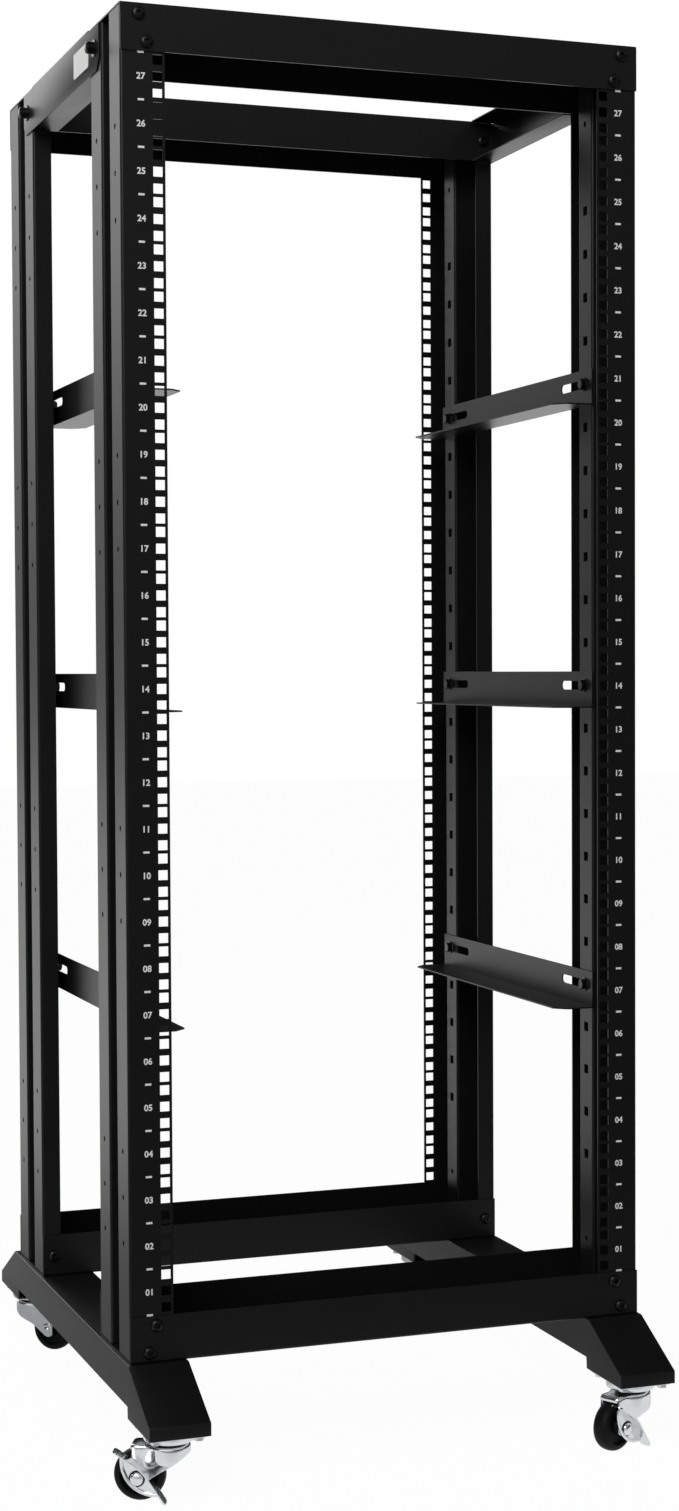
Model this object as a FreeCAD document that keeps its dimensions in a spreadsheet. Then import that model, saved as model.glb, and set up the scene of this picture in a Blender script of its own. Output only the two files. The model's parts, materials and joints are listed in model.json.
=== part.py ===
import FreeCAD, Part
import math
import os
import re

import Sketcher

# Four post open frame rack on casters, in millimetres.
# X runs across the rack, Y from its front to its rear and Z up from the floor, with the origin on the floor
# under the middle of the frame. The left posts are at -X and the front posts at -Y.

# Driving sizes: name, value and what it is.
SIZES = {
    "rack_unit": (44.45, "height of one rack unit"),
    "units": (27, "rack units between the crossbars"),
    "hole_spacing": (465.1, "across, between the two front rows of square holes"),
    "hole_side": (9.5, "side of a square hole"),
    "hole_step": (15.875, "from the middle square hole of a unit to the other two"),
    "frame_width": (538, "over the outer faces of the posts"),
    "frame_depth": (480, "over the front and rear faces of the posts"),
    "sheet": (1.5, "sheet of the posts, bars and rails"),
    "fold": (1, "inner radius of a fold"),
    "post_depth": (112, "front to rear of one post"),
    "hole_edge": (7.15, "from the middle of a row of square holes to the edge of its flange"),
    "inner_flange": (20, "width of the flange at the post's other edge"),
    "strip": (41.5, "width of each side strip beside the groove"),
    "groove_depth": (28.5, "depth of the post's groove"),
    "plain_units": (2, "units at each end of a groove with no square holes"),
    "end_hole": (6, "diameter of the round hole at each end of a groove"),
    "side_hole": (5.5, "diameter of the round holes of the side strips"),
    "side_run": (3, "round holes in a run, a unit apart"),
    "side_run_low": (2, "unit of the lowest run's first hole"),
    "side_run_lower": (9, "unit of the second run's first hole"),
    "side_run_upper": (17, "unit of the third run's first hole"),
    "side_run_high": (24, "unit of the highest run's first hole"),
    "bar_height": (45, "height of a crossbar"),
    "bar_gap": (1, "between the crossbars and the first and last unit"),
    "side_bar_height": (46, "height of a top side bar"),
    "side_bar_length": (328, "length of a top side bar"),
    "side_bar_flange": (28, "width of a top side bar's two flanges"),
    "side_bar_clip": (9, "clipped lower corners of a top side bar"),
    "side_bar_room": (4, "from a top side bar's flange to the posts"),
    "rail_length": (404, "length of a support rail"),
    "rail_height": (37.5, "height of a support rail's web"),
    "rail_drop": (23, "from a support rail's bolts down to its lower face"),
    "rail_flange": (41, "width of a support rail's flange"),
    "rail_clip": (12, "clipped corners of a support rail's flange"),
    "rail_slot_length": (68, "length of a support rail's bolt slot"),
    "rail_slot_height": (9, "height of a support rail's bolt slot"),
    "rail_slot_edge": (6, "from a support rail's end to its bolt slot"),
    "rail_lower_unit": (7, "unit that the lower support rails are bolted to"),
    "rail_middle_unit": (14, "unit that the middle support rails are bolted to"),
    "rail_upper_unit": (21, "unit that the upper support rails are bolted to"),
    "foot_width": (60, "width of a foot"),
    "foot_ledge": (3, "how far a foot stands out past its posts"),
    "foot_sheet": (2, "sheet of the feet"),
    "foot_overhang": (80, "how far a foot runs on past the front posts"),
    "rear_overhang": (92, "how far a foot runs on past the rear posts"),
    "foot_height": (40, "height of a foot between the posts"),
    "foot_end_height": (51.5, "height of a foot over its casters"),
    "foot_lip": (12.5, "height of the upright lip that ends a foot"),
    "foot_flat": (6, "level top of a foot in front of the posts"),
    "rear_flat": (18, "level top of a foot behind the posts"),
    "caster_height": (69.5, "height of a caster"),
    "caster_inset": (40, "from a foot's end to its caster's swivel"),
    "plate_side": (56, "side of a caster's square plate"),
    "plate_sheet": (2, "thickness of a caster's plate"),
    "race_radius": (17, "radius of a caster's ball race"),
    "race_height": (2.5, "height of the race pressed on a caster's plate"),
    "pin_radius": (4, "radius of a caster's kingpin"),
    "pin_head_radius": (7, "radius of a kingpin's head"),
    "pin_head_height": (1.5, "height of a kingpin's head"),
    "running_gap": (0.1, "round a pin that something turns on"),
    "side_gap": (0.3, "between faces that slide past each other"),
    "wheel_radius": (25, "radius of a wheel"),
    "wheel_width": (18, "width of a wheel's tread"),
    "wheel_shoulder": (6, "how far in the tread's rounded edges start"),
    "rim_inner": (18, "inner radius of a wheel's rim"),
    "web_width": (9, "thickness of a wheel between hub and rim"),
    "hub_radius": (8, "radius of a wheel's hub"),
    "axle_radius": (3, "radius of a wheel's axle"),
    "trail": (28, "from a caster's swivel to its axle"),
    "fork_room": (22, "between the cheeks of a fork"),
    "fork_sheet": (2, "sheet of a fork"),
    "hood_radius": (21, "outer radius of a fork's round hood"),
    "fork_skirt": (5, "height of the hood's wall at its ends"),
    "fork_relief": (13, "from the axle up to the lowest part of the hood's round wall"),
    "fork_step": (3, "from the axle down to the start of a cheek's round end"),
    "cheek_radius": (8, "radius of a cheek round its axle"),
    "cap_radius": (5.5, "radius of the domed nut on an axle"),
    "cap_height": (4, "height of the domed nut on an axle"),
    "lever_sheet": (2, "sheet of a brake lever"),
    "lever_reach": (36, "from the axle to each end of a brake lever"),
    "lever_width": (13, "width of a brake lever's treads"),
    "lever_rise": (7, "from the axle up to a brake lever's treads"),
    "lever_low": (32, "slope of the lever's lower arm, in degrees"),
    "lever_high": (58, "slope of the lever's upper arm, in degrees"),
    "turn_front_left": (154, "heading of the front left wheel, in degrees from +X"),
    "turn_front_right": (206, "heading of the front right wheel"),
    "turn_rear_left": (-50, "heading of the rear left wheel"),
    "turn_rear_right": (26, "heading of the rear right wheel"),
}

# Places worked out from the sizes.
PLACES = {
    "post_outer": "-frame_width / 2",
    "post_front": "-frame_depth / 2",
    "post_rear": "post_front + post_depth",
    "groove_front": "post_front + strip",
    "groove_rear": "post_rear - strip",
    "groove_middle": "(groove_front + groove_rear) / 2",
    "groove_bottom": "post_outer + groove_depth",
    "foot_bottom": "caster_height",
    "foot_top": "foot_bottom + foot_end_height",
    "foot_outer": "post_outer - foot_ledge",
    "foot_middle": "foot_outer + foot_width / 2",
    "foot_end": "post_front - foot_overhang",
    "foot_back": "rear_overhang - (post_front)",
    "first_unit": "foot_top + bar_height + bar_gap",
    "frame_top": "first_unit + units * rack_unit + bar_gap + bar_height",
    "post_bottom": "foot_top + sheet + fold",
    "post_top": "frame_top - sheet - fold",
    "front_swivel": "foot_end + caster_inset",
    "rear_swivel": "foot_back - caster_inset",
    "race_bottom": "foot_bottom - plate_sheet - race_height",
    "fork_top": "race_bottom - side_gap - fork_ring",
    "fork_ring": "fork_sheet - side_gap",
    "fork_half": "fork_room / 2 + fork_sheet",
    "hood_end": "trail + cheek_radius",
    "hood_meet": "sqrt(hood_radius ^ 2 - fork_half ^ 2)",
    "lever_inner": "fork_half + side_gap",
}

doc = FreeCAD.newDocument("Rack")
sheet = doc.addObject("Spreadsheet::Sheet", "Sizes")
for row, (name, (value, note)) in enumerate(SIZES.items(), start=1):
    sheet.set("A" + str(row), name)
    sheet.set("B" + str(row), str(value))
    sheet.setAlias("B" + str(row), name)
    sheet.set("C" + str(row), note)
doc.recompute()


def bind(words):
    """Turn an expression in the names of sizes and places into one that the document understands."""
    def swap(match):
        word = match.group(0)
        if word in PLACES:
            return "(" + bind(PLACES[word]) + ")"
        return "Sizes." + word if word in SIZES else word
    return re.sub(r"[a-z][a-z_]*", swap, str(words))


def number(words):
    """Work out an expression now, for a sketch's first guess or for a choice in this file."""
    return float(sheet.evalExpression(bind(words)))


def set_size(item, name, words):
    """Give a property its value now and bind it to the sheet."""
    item.setExpression(name, bind(words))


def mirrored(label, source, normal, height=None):
    """A piece that is the mirror image of another, across the rack's middle or a level plane."""
    piece = doc.addObject("Part::Mirroring", label)
    piece.Label = label
    piece.Source = source
    piece.Normal = normal
    if height is not None:
        set_size(piece, "Base.z", height)
    return piece


def new_body(label):
    """A body whose Label is the piece's name."""
    body = doc.addObject("PartDesign::Body", label)
    body.Label = label
    return body


def new_sketch(body, plane, offset=(0, 0, 0)):
    """A sketch on one of the body's own planes, moved by expressions along the plane's axes."""
    sketch = body.newObject("Sketcher::SketchObject", body.Name + "_sketch")
    origin = [item for item in body.Origin.OriginFeatures if item.Role == plane][0]
    sketch.AttachmentSupport = [(origin, "")]
    sketch.MapMode = "FlatFace"
    for axis, words in zip("xyz", offset):
        if words != 0:
            set_size(sketch, "AttachmentOffset.Base." + axis, words)
    return sketch


def fix(sketch, kind, *where):
    """Add a constraint whose last value is an expression, and bind it."""
    words = where[-1]
    index = sketch.addConstraint(Sketcher.Constraint(kind, *where[:-1], number(words)))
    sketch.setExpression("Constraints[" + str(index) + "]", bind(words))


def folded_outline(sketch, legs):
    """Draw a closed outline of level and upright lines, as a folded sheet's section has.

    A leg is (kind, place, turn): a level line's height or an upright line's distance from the origin, and
    the radius where it meets the next leg, or 0 for a sharp corner.
    """
    count = len(legs)
    corners = []
    for index, (kind, place, _) in enumerate(legs):
        follower = legs[(index + 1) % count]
        pair = (number(follower[1]), number(place)) if kind == "level" else (number(place), number(follower[1]))
        corners.append(FreeCAD.Vector(pair[0], pair[1], 0))
    ways = [(corners[index] - corners[index - 1]).normalize() for index in range(count)]
    turns = [number(turn) for _, _, turn in legs]
    lines = []
    for index in range(count):
        start = corners[index - 1] + ways[index] * turns[index - 1]
        finish = corners[index] - ways[index] * turns[index]
        lines.append(sketch.addGeometry(Part.LineSegment(start, finish)))
        level = legs[index][0] == "level"
        sketch.addConstraint(Sketcher.Constraint("Horizontal" if level else "Vertical", lines[index]))
        fix(sketch, "DistanceY" if level else "DistanceX", -1, 1, lines[index], 1, legs[index][1])
    for index in range(count):
        follower = (index + 1) % count
        if turns[index] == 0:
            joint = Sketcher.Constraint("Coincident", lines[index], 2, lines[follower], 1)
            sketch.addConstraint(joint)
            continue
        begin = corners[index] - ways[index] * turns[index]
        end = corners[index] + ways[follower] * turns[index]
        centre = begin + ways[follower] * turns[index]
        left = (ways[index].cross(ways[follower])).z > 0
        first, last = (begin, end) if left else (end, begin)
        angles = [math.atan2((point - centre).y, (point - centre).x) for point in (first, last)]
        circle = Part.Circle(centre, FreeCAD.Vector(0, 0, 1), turns[index])
        arc = sketch.addGeometry(Part.ArcOfCircle(circle, angles[0], angles[1]))
        near, far = (1, 2) if left else (2, 1)
        sketch.addConstraint(Sketcher.Constraint("Tangent", lines[index], 2, arc, near))
        sketch.addConstraint(Sketcher.Constraint("Tangent", arc, far, lines[follower], 1))
        fix(sketch, "Radius", arc, legs[index][2])


def pointed_outline(sketch, points):
    """Draw a closed outline through points that are each a pair of expressions."""
    spots = [FreeCAD.Vector(number(across), number(up), 0) for across, up in points]
    count = len(spots)
    lines = [sketch.addGeometry(Part.LineSegment(spots[i], spots[(i + 1) % count])) for i in range(count)]
    for index in range(count):
        follower = lines[(index + 1) % count]
        sketch.addConstraint(Sketcher.Constraint("Coincident", lines[index], 2, follower, 1))
        fix(sketch, "DistanceX", -1, 1, lines[index], 1, points[index][0])
        fix(sketch, "DistanceY", -1, 1, lines[index], 1, points[index][1])


def rectangle(sketch, left, low, right, high):
    """Draw a rectangle between two expressions across and two up."""
    folded_outline(sketch, [("level", low, 0), ("upright", right, 0), ("level", high, 0), ("upright", left, 0)])


def circle(sketch, across, up, radius):
    """Draw a circle round a point given by two expressions."""
    middle = FreeCAD.Vector(number(across), number(up), 0)
    ring = sketch.addGeometry(Part.Circle(middle, FreeCAD.Vector(0, 0, 1), number(radius)))
    fix(sketch, "DistanceX", -1, 1, ring, 3, across)
    fix(sketch, "DistanceY", -1, 1, ring, 3, up)
    fix(sketch, "Radius", ring, radius)


def slot(sketch, left, right, middle, height):
    """Draw a level slot with round ends."""
    radius = number(height) / 2
    ends = (number(left) + radius, number(right) - radius)
    line_up = number(middle)
    normal = FreeCAD.Vector(0, 0, 1)
    arcs = []
    for across, first in zip(ends, (math.pi / 2, -math.pi / 2)):
        ring = Part.Circle(FreeCAD.Vector(across, line_up, 0), normal, radius)
        arcs.append(sketch.addGeometry(Part.ArcOfCircle(ring, first, first + math.pi)))
    pairs = ((ends[0], ends[1], line_up - radius), (ends[1], ends[0], line_up + radius))
    lines = [sketch.addGeometry(Part.LineSegment(FreeCAD.Vector(a, up, 0), FreeCAD.Vector(b, up, 0)))
             for a, b, up in pairs]
    for arc, line in ((0, 0), (1, 1)):
        sketch.addConstraint(Sketcher.Constraint("Tangent", arcs[arc], 2, lines[line], 1))
        sketch.addConstraint(Sketcher.Constraint("Tangent", lines[line], 2, arcs[1 - arc], 1))
        sketch.addConstraint(Sketcher.Constraint("Horizontal", lines[line]))
    fix(sketch, "Radius", arcs[0], "(" + height + ") / 2")
    fix(sketch, "DistanceX", -1, 1, arcs[0], 3, "(" + left + ") + (" + height + ") / 2")
    fix(sketch, "DistanceX", -1, 1, arcs[1], 3, "(" + right + ") - (" + height + ") / 2")
    fix(sketch, "DistanceY", -1, 1, arcs[0], 3, middle)


def pad(body, sketch, length):
    """Add the sketch's shape, pulled out along its normal."""
    feature = body.newObject("PartDesign::Pad", body.Name + "_pad")
    feature.Profile = sketch
    set_size(feature, "Length", length)
    sketch.Visibility = False
    return feature


def pocket(body, sketch, length):
    """Cut the sketch's shape, pushed in against its normal."""
    feature = body.newObject("PartDesign::Pocket", body.Name + "_pocket")
    feature.Profile = sketch
    set_size(feature, "Length", length)
    return feature


def revolution(body, sketch):
    """Turn the sketch round its own upright axis."""
    feature = body.newObject("PartDesign::Revolution", body.Name + "_revolution")
    feature.Profile = sketch
    feature.ReferenceAxis = (sketch, ["V_Axis"])
    feature.Angle = 360
    return feature


def repeat_up(body, feature, count, step):
    """Repeat a cut up the piece, a number of times a step apart."""
    doc.recompute()
    pattern = body.newObject("PartDesign::LinearPattern", body.Name + "_pattern")
    pattern.Originals = [feature]
    pattern.Direction = (feature.Profile[0], ["V_Axis"])
    set_size(pattern, "Length", "(" + str(count) + " - 1) * " + step)
    set_size(pattern, "Occurrences", count)
    body.Tip = pattern
    return pattern


# Room that a cutting tool has past each face of a sheet.
PAST = "sheet"


def make_post(label):
    """The front left post: one sheet folded into a flange, a strip, a groove, a strip and a flange."""
    body = new_body(label)
    section = new_sketch(body, "XY_Plane", (0, 0, "post_bottom"))
    outer = "fold + sheet"
    folded_outline(section, [
        ("level", "post_front", outer),
        ("upright", "post_outer", outer),
        ("level", "groove_front", "fold"),
        ("upright", "groove_bottom", "fold"),
        ("level", "groove_rear", outer),
        ("upright", "post_outer", outer),
        ("level", "post_rear", 0),
        ("upright", "post_outer + inner_flange", 0),
        ("level", "post_rear - sheet", "fold"),
        ("upright", "post_outer + sheet", "fold"),
        ("level", "groove_rear + sheet", outer),
        ("upright", "groove_bottom + sheet", outer),
        ("level", "groove_front - sheet", "fold"),
        ("upright", "post_outer + sheet", "fold"),
        ("level", "post_front + sheet", 0),
        ("upright", "-hole_spacing / 2 + hole_edge", 0),
    ])
    pad(body, section, "post_top - post_bottom")
    punch_rack_holes(body)
    punch_groove_holes(body)
    drill_side_holes(body)
    return body


def punch_rack_holes(body):
    """Three square holes to each unit, all the way up the wide flange."""
    punch = new_sketch(body, "XZ_Plane", (0, 0, "-(post_front) + " + PAST))
    for step in ("-1", "0", "1"):
        middle = "first_unit + rack_unit / 2 + hole_step * " + step
        rectangle(punch, "-hole_spacing / 2 - hole_side / 2", middle + " - hole_side / 2",
                  "-hole_spacing / 2 + hole_side / 2", middle + " + hole_side / 2")
    cut = pocket(body, punch, "sheet + 2 * " + PAST)
    repeat_up(body, cut, "units", "rack_unit")


def punch_groove_holes(body):
    """A square hole to each unit in the groove's bottom, but for its ends, where there is one round hole."""
    inside = "groove_bottom + sheet + " + PAST
    depth = "sheet + 2 * " + PAST
    rounds = new_sketch(body, "YZ_Plane", (0, 0, inside))
    circle(rounds, "groove_middle", "first_unit + rack_unit / 2", "end_hole / 2")
    circle(rounds, "groove_middle", "first_unit + (units - 0.5) * rack_unit", "end_hole / 2")
    pocket(body, rounds, depth)
    punch = new_sketch(body, "YZ_Plane", (0, 0, inside))
    middle = "first_unit + (plain_units + 0.5) * rack_unit"
    rectangle(punch, "groove_middle - hole_side / 2", middle + " - hole_side / 2",
              "groove_middle + hole_side / 2", middle + " + hole_side / 2")
    cut = pocket(body, punch, depth)
    repeat_up(body, cut, "(units - 2 * plain_units)", "rack_unit")


def drill_side_holes(body):
    """Four runs of round holes up the middle of each side strip."""
    drill = new_sketch(body, "YZ_Plane", (0, 0, "post_outer + sheet + " + PAST))
    for start in ("side_run_low", "side_run_lower", "side_run_upper", "side_run_high"):
        for across in ("post_front + strip / 2", "post_rear - strip / 2"):
            circle(drill, across, "first_unit + (" + start + " - 0.5) * rack_unit", "side_hole / 2")
    cut = pocket(body, drill, "sheet + 2 * " + PAST)
    repeat_up(body, cut, "side_run", "rack_unit")


def make_crossbar(label):
    """The bottom front crossbar: a channel, open upwards, that both front posts stand in."""
    body = new_body(label)
    section = new_sketch(body, "YZ_Plane", (0, 0, "post_outer"))
    outer = "fold + sheet"
    folded_outline(section, [
        ("level", "foot_top", outer),
        ("upright", "post_rear + sheet", 0),
        ("level", "foot_top + bar_height", 0),
        ("upright", "post_rear", "fold"),
        ("level", "foot_top + sheet", "fold"),
        ("upright", "post_front", 0),
        ("level", "foot_top + bar_height", 0),
        ("upright", "post_front - sheet", outer),
    ])
    pad(body, section, "frame_width")
    return body


def make_side_bar(label):
    """The top left side bar: an upright plate on the posts' outer faces, with two flanges between the posts."""
    body = new_body(label)
    low = "frame_top - side_bar_height"
    end = "side_bar_length / 2"
    plate = new_sketch(body, "YZ_Plane", (0, 0, "post_outer - sheet"))
    pointed_outline(plate, [
        ("-" + end, "frame_top - sheet"),
        ("-" + end, low + " + side_bar_clip"),
        ("-" + end + " + side_bar_clip", low),
        (end + " - side_bar_clip", low),
        (end, low + " + side_bar_clip"),
        (end, "frame_top - sheet"),
    ])
    pad(body, plate, "sheet")
    reach = "-(post_rear) - side_bar_room"
    for bottom in (low, "frame_top - sheet"):
        flange = new_sketch(body, "XY_Plane", (0, 0, bottom))
        rectangle(flange, "post_outer - sheet", "-(" + reach + ")", "post_outer - sheet + side_bar_flange", reach)
        pad(body, flange, "sheet")
    return body


def make_rail(label, unit):
    """A left support rail: a slotted web bolted in the grooves and a flange that the equipment rests on."""
    body = new_body(label)
    bolt = "first_unit + (" + unit + " - 0.5) * rack_unit"
    low = bolt + " - rail_drop"
    end = "rail_length / 2"
    face = "groove_bottom + sheet"
    web = new_sketch(body, "YZ_Plane", (0, 0, face))
    rectangle(web, "-" + end, low, end, low + " + rail_height")
    slot(web, "-" + end + " + rail_slot_edge", "-" + end + " + rail_slot_edge + rail_slot_length", bolt,
         "rail_slot_height")
    slot(web, end + " - rail_slot_edge - rail_slot_length", end + " - rail_slot_edge", bolt,
         "rail_slot_height")
    pad(body, web, "sheet")
    flange = new_sketch(body, "XY_Plane", (0, 0, low))
    tip = face + " + rail_flange"
    pointed_outline(flange, [
        (face, "-" + end),
        (tip + " - rail_clip", "-" + end),
        (tip, "-" + end + " + rail_clip"),
        (tip, end + " - rail_clip"),
        (tip + " - rail_clip", end),
        (face, end),
    ])
    pad(body, flange, "sheet")
    return body


def make_foot(label):
    """The left foot: a channel, open downwards, with sloping ends closed below to carry the casters."""
    body = new_body(label)
    knee = "post_front - foot_flat"
    back_knee = "rear_flat - (post_front)"
    lip = "foot_bottom + foot_lip"
    rise = "(foot_end_height - foot_lip)"
    shell = new_sketch(body, "YZ_Plane", (0, 0, "foot_outer"))
    pointed_outline(shell, [
        ("foot_end", "foot_bottom"),
        ("post_front", "foot_bottom"),
        ("post_front", "foot_top - foot_height"),
        ("-(post_front)", "foot_top - foot_height"),
        ("-(post_front)", "foot_bottom"),
        ("foot_back", "foot_bottom"),
        ("foot_back", lip),
        (back_knee, "foot_top"),
        (knee, "foot_top"),
        ("foot_end", lip),
    ])
    pad(body, shell, "foot_width")
    low_end, high_end = inner_slope("(foot_overhang - foot_flat)", rise)
    low_back, high_back = inner_slope("(rear_overhang - rear_flat)", rise)
    hollow = new_sketch(body, "YZ_Plane", (0, 0, "foot_outer + foot_width - foot_sheet"))
    pointed_outline(hollow, [
        ("foot_end + foot_sheet", "foot_bottom + foot_sheet"),
        ("post_front", "foot_bottom + foot_sheet"),
        ("post_front", "foot_bottom - foot_sheet"),
        ("-(post_front)", "foot_bottom - foot_sheet"),
        ("-(post_front)", "foot_bottom + foot_sheet"),
        ("foot_back - foot_sheet", "foot_bottom + foot_sheet"),
        ("foot_back - foot_sheet", lip + " + " + low_back),
        (back_knee + " - (" + high_back + ")", "foot_top - foot_sheet"),
        (knee + " + " + high_end, "foot_top - foot_sheet"),
        ("foot_end + foot_sheet", lip + " + " + low_end),
    ])
    pocket(body, hollow, "foot_width - 2 * foot_sheet")
    return body


def inner_slope(run, rise):
    """How far the inside of a foot's slope ends above the lip and inside the knee."""
    slope = "foot_sheet * sqrt(" + run + " ^ 2 + " + rise + " ^ 2) / " + run
    low = "foot_sheet * " + rise + " / " + run + " - " + slope
    high = "(" + slope + " - foot_sheet) * " + run + " / " + rise
    return low, high


def place_caster(piece, corner):
    """Stand a caster's piece at its corner, turned to its wheel's heading."""
    side = "1" if "left" in corner else "-1"
    swivel = "front_swivel" if "front" in corner else "rear_swivel"
    piece.Placement = FreeCAD.Placement(FreeCAD.Vector(), FreeCAD.Rotation(FreeCAD.Vector(0, 0, 1), 90))
    set_size(piece, "Placement.Base.x", side + " * foot_middle")
    set_size(piece, "Placement.Base.y", swivel)
    if "plate" in piece.Label:
        piece.Placement.Rotation = FreeCAD.Rotation()
        return
    set_size(piece, "Placement.Rotation.Angle", "turn_" + corner)


def make_caster_plate(label):
    """A square plate under the foot, with the fixed half of the ball race and the kingpin's bore."""
    body = new_body(label)
    outline = new_sketch(body, "XY_Plane", (0, 0, "foot_bottom - plate_sheet"))
    half = "plate_side / 2"
    rectangle(outline, "-" + half, "-" + half, half, half)
    pad(body, outline, "plate_sheet")
    race = new_sketch(body, "XY_Plane", (0, 0, "race_bottom"))
    circle(race, "0", "0", "race_radius")
    pad(body, race, "race_height")
    bore = new_sketch(body, "XY_Plane", (0, 0, "foot_bottom + plate_sheet"))
    circle(bore, "0", "0", "pin_radius + running_gap")
    pocket(body, bore, "caster_height / 2")
    seat = new_sketch(body, "XY_Plane", (0, 0, "foot_bottom + plate_sheet"))
    circle(seat, "0", "0", "pin_head_radius + side_gap")
    pocket(body, seat, "plate_sheet + 2 * side_gap + pin_head_height")
    return body


def keyhole(sketch, radius, half, end):
    """Draw a round hood round the origin that runs into straight sides and a square end."""
    meet = "sqrt((" + radius + ") ^ 2 - (" + half + ") ^ 2)"
    across, up, far, size = number(meet), number(half), number(end), number(radius)
    angle = math.atan2(up, across)
    ring = Part.Circle(FreeCAD.Vector(), FreeCAD.Vector(0, 0, 1), size)
    arc = sketch.addGeometry(Part.ArcOfCircle(ring, angle, 2 * math.pi - angle))
    corners = [FreeCAD.Vector(across, -up, 0), FreeCAD.Vector(far, -up, 0), FreeCAD.Vector(far, up, 0),
               FreeCAD.Vector(across, up, 0)]
    lines = [sketch.addGeometry(Part.LineSegment(corners[i], corners[i + 1])) for i in range(3)]
    sketch.addConstraint(Sketcher.Constraint("Coincident", arc, 3, -1, 1))
    sketch.addConstraint(Sketcher.Constraint("Coincident", arc, 2, lines[0], 1))
    sketch.addConstraint(Sketcher.Constraint("Coincident", lines[0], 2, lines[1], 1))
    sketch.addConstraint(Sketcher.Constraint("Coincident", lines[1], 2, lines[2], 1))
    sketch.addConstraint(Sketcher.Constraint("Coincident", lines[2], 2, arc, 1))
    sketch.addConstraint(Sketcher.Constraint("Horizontal", lines[0]))
    sketch.addConstraint(Sketcher.Constraint("Vertical", lines[1]))
    sketch.addConstraint(Sketcher.Constraint("Horizontal", lines[2]))
    fix(sketch, "Radius", arc, radius)
    fix(sketch, "DistanceY", -1, 1, lines[2], 1, half)
    fix(sketch, "DistanceY", lines[0], 1, -1, 1, half)
    fix(sketch, "DistanceX", -1, 1, lines[1], 1, end)


def make_fork(label):
    """A pressed fork: a round hood that runs into two cheeks over the wheel, the other half race and the pin."""
    body = new_body(label)
    shell = new_sketch(body, "XY_Plane", (0, 0, "wheel_radius - cheek_radius"))
    keyhole(shell, "hood_radius", "fork_half", "hood_end")
    pad(body, shell, "fork_top - wheel_radius + cheek_radius")
    inside = new_sketch(body, "XY_Plane", (0, 0, "fork_top - fork_sheet"))
    keyhole(inside, "hood_radius - fork_sheet", "fork_room / 2", "hood_end - fork_sheet")
    pocket(body, inside, "fork_top")
    mouth = new_sketch(body, "YZ_Plane", (0, 0, "hood_end + " + PAST))
    rectangle(mouth, "-(fork_room) / 2", "0", "fork_room / 2", "fork_top - fork_skirt")
    pocket(body, mouth, "fork_sheet + 2 * " + PAST)
    side = new_sketch(body, "XZ_Plane", (0, 0, "hood_radius + " + PAST))
    rectangle(side, "-(hood_radius) - 2 * " + PAST, "0", "hood_end + 2 * " + PAST, "fork_top + 2 * " + PAST)
    outline_cheek(side)
    pocket(body, side, "2 * (hood_radius + " + PAST + ")")
    ring = new_sketch(body, "XY_Plane", (0, 0, "fork_top - fork_sheet"))
    circle(ring, "0", "0", "race_radius")
    pad(body, ring, "fork_sheet + fork_ring")
    pin = new_sketch(body, "XY_Plane", (0, 0, "fork_top"))
    circle(pin, "0", "0", "pin_radius")
    pad(body, pin, "foot_bottom - side_gap - (fork_top)")
    head = new_sketch(body, "XY_Plane", (0, 0, "foot_bottom - side_gap - pin_head_height"))
    circle(head, "0", "0", "pin_head_radius")
    pad(body, head, "pin_head_height")
    bore = new_sketch(body, "XZ_Plane", (0, 0, "fork_room"))
    circle(bore, "trail", "wheel_radius", "axle_radius + running_gap")
    pocket(body, bore, "2 * fork_room")
    return body


def outline_cheek(sketch):
    """What is left of the hood from the side: it slopes down to the cheeks, which end round the axle."""
    lead = "-(hood_radius) - " + PAST
    over = "fork_top + " + PAST
    axle = FreeCAD.Vector(number("trail"), number("wheel_radius"), 0)
    radius = number("cheek_radius")
    meet = FreeCAD.Vector(number("hood_meet"), number("wheel_radius - fork_step"), 0)
    away = meet - axle
    angle = math.atan2(away.y, away.x) + math.acos(radius / away.Length)
    low = axle + FreeCAD.Vector(math.cos(angle), math.sin(angle), 0) * radius
    ring = Part.Circle(axle, FreeCAD.Vector(0, 0, 1), radius)
    places = [(lead, over), (lead, "fork_top - fork_skirt"), ("hood_meet", "wheel_radius + fork_relief"),
              ("hood_meet", "wheel_radius - fork_step")]
    spots = [FreeCAD.Vector(number(across), number(up), 0) for across, up in places]
    far = FreeCAD.Vector(number("hood_end"), axle.y, 0)
    corner = FreeCAD.Vector(far.x, spots[0].y, 0)
    lines = [sketch.addGeometry(Part.LineSegment(spots[i], spots[i + 1])) for i in range(3)]
    lines.append(sketch.addGeometry(Part.LineSegment(spots[3], low)))
    arc = sketch.addGeometry(Part.ArcOfCircle(ring, angle, 2 * math.pi))
    lines.append(sketch.addGeometry(Part.LineSegment(far, corner)))
    lines.append(sketch.addGeometry(Part.LineSegment(corner, spots[0])))
    for first, second in ((0, 1), (1, 2), (2, 3), (4, 5), (5, 0)):
        joint = Sketcher.Constraint("Coincident", lines[first], 2, lines[second], 1)
        sketch.addConstraint(joint)
    sketch.addConstraint(Sketcher.Constraint("Tangent", lines[3], 2, arc, 1))
    sketch.addConstraint(Sketcher.Constraint("Tangent", arc, 2, lines[4], 1))
    sketch.addConstraint(Sketcher.Constraint("Horizontal", lines[5]))
    for index, (across, up) in enumerate(places):
        fix(sketch, "DistanceX", -1, 1, lines[index], 1, across)
        fix(sketch, "DistanceY", -1, 1, lines[index], 1, up)
    fix(sketch, "DistanceX", -1, 1, arc, 3, "trail")
    fix(sketch, "DistanceY", -1, 1, arc, 3, "wheel_radius")
    fix(sketch, "Radius", arc, "cheek_radius")


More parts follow.
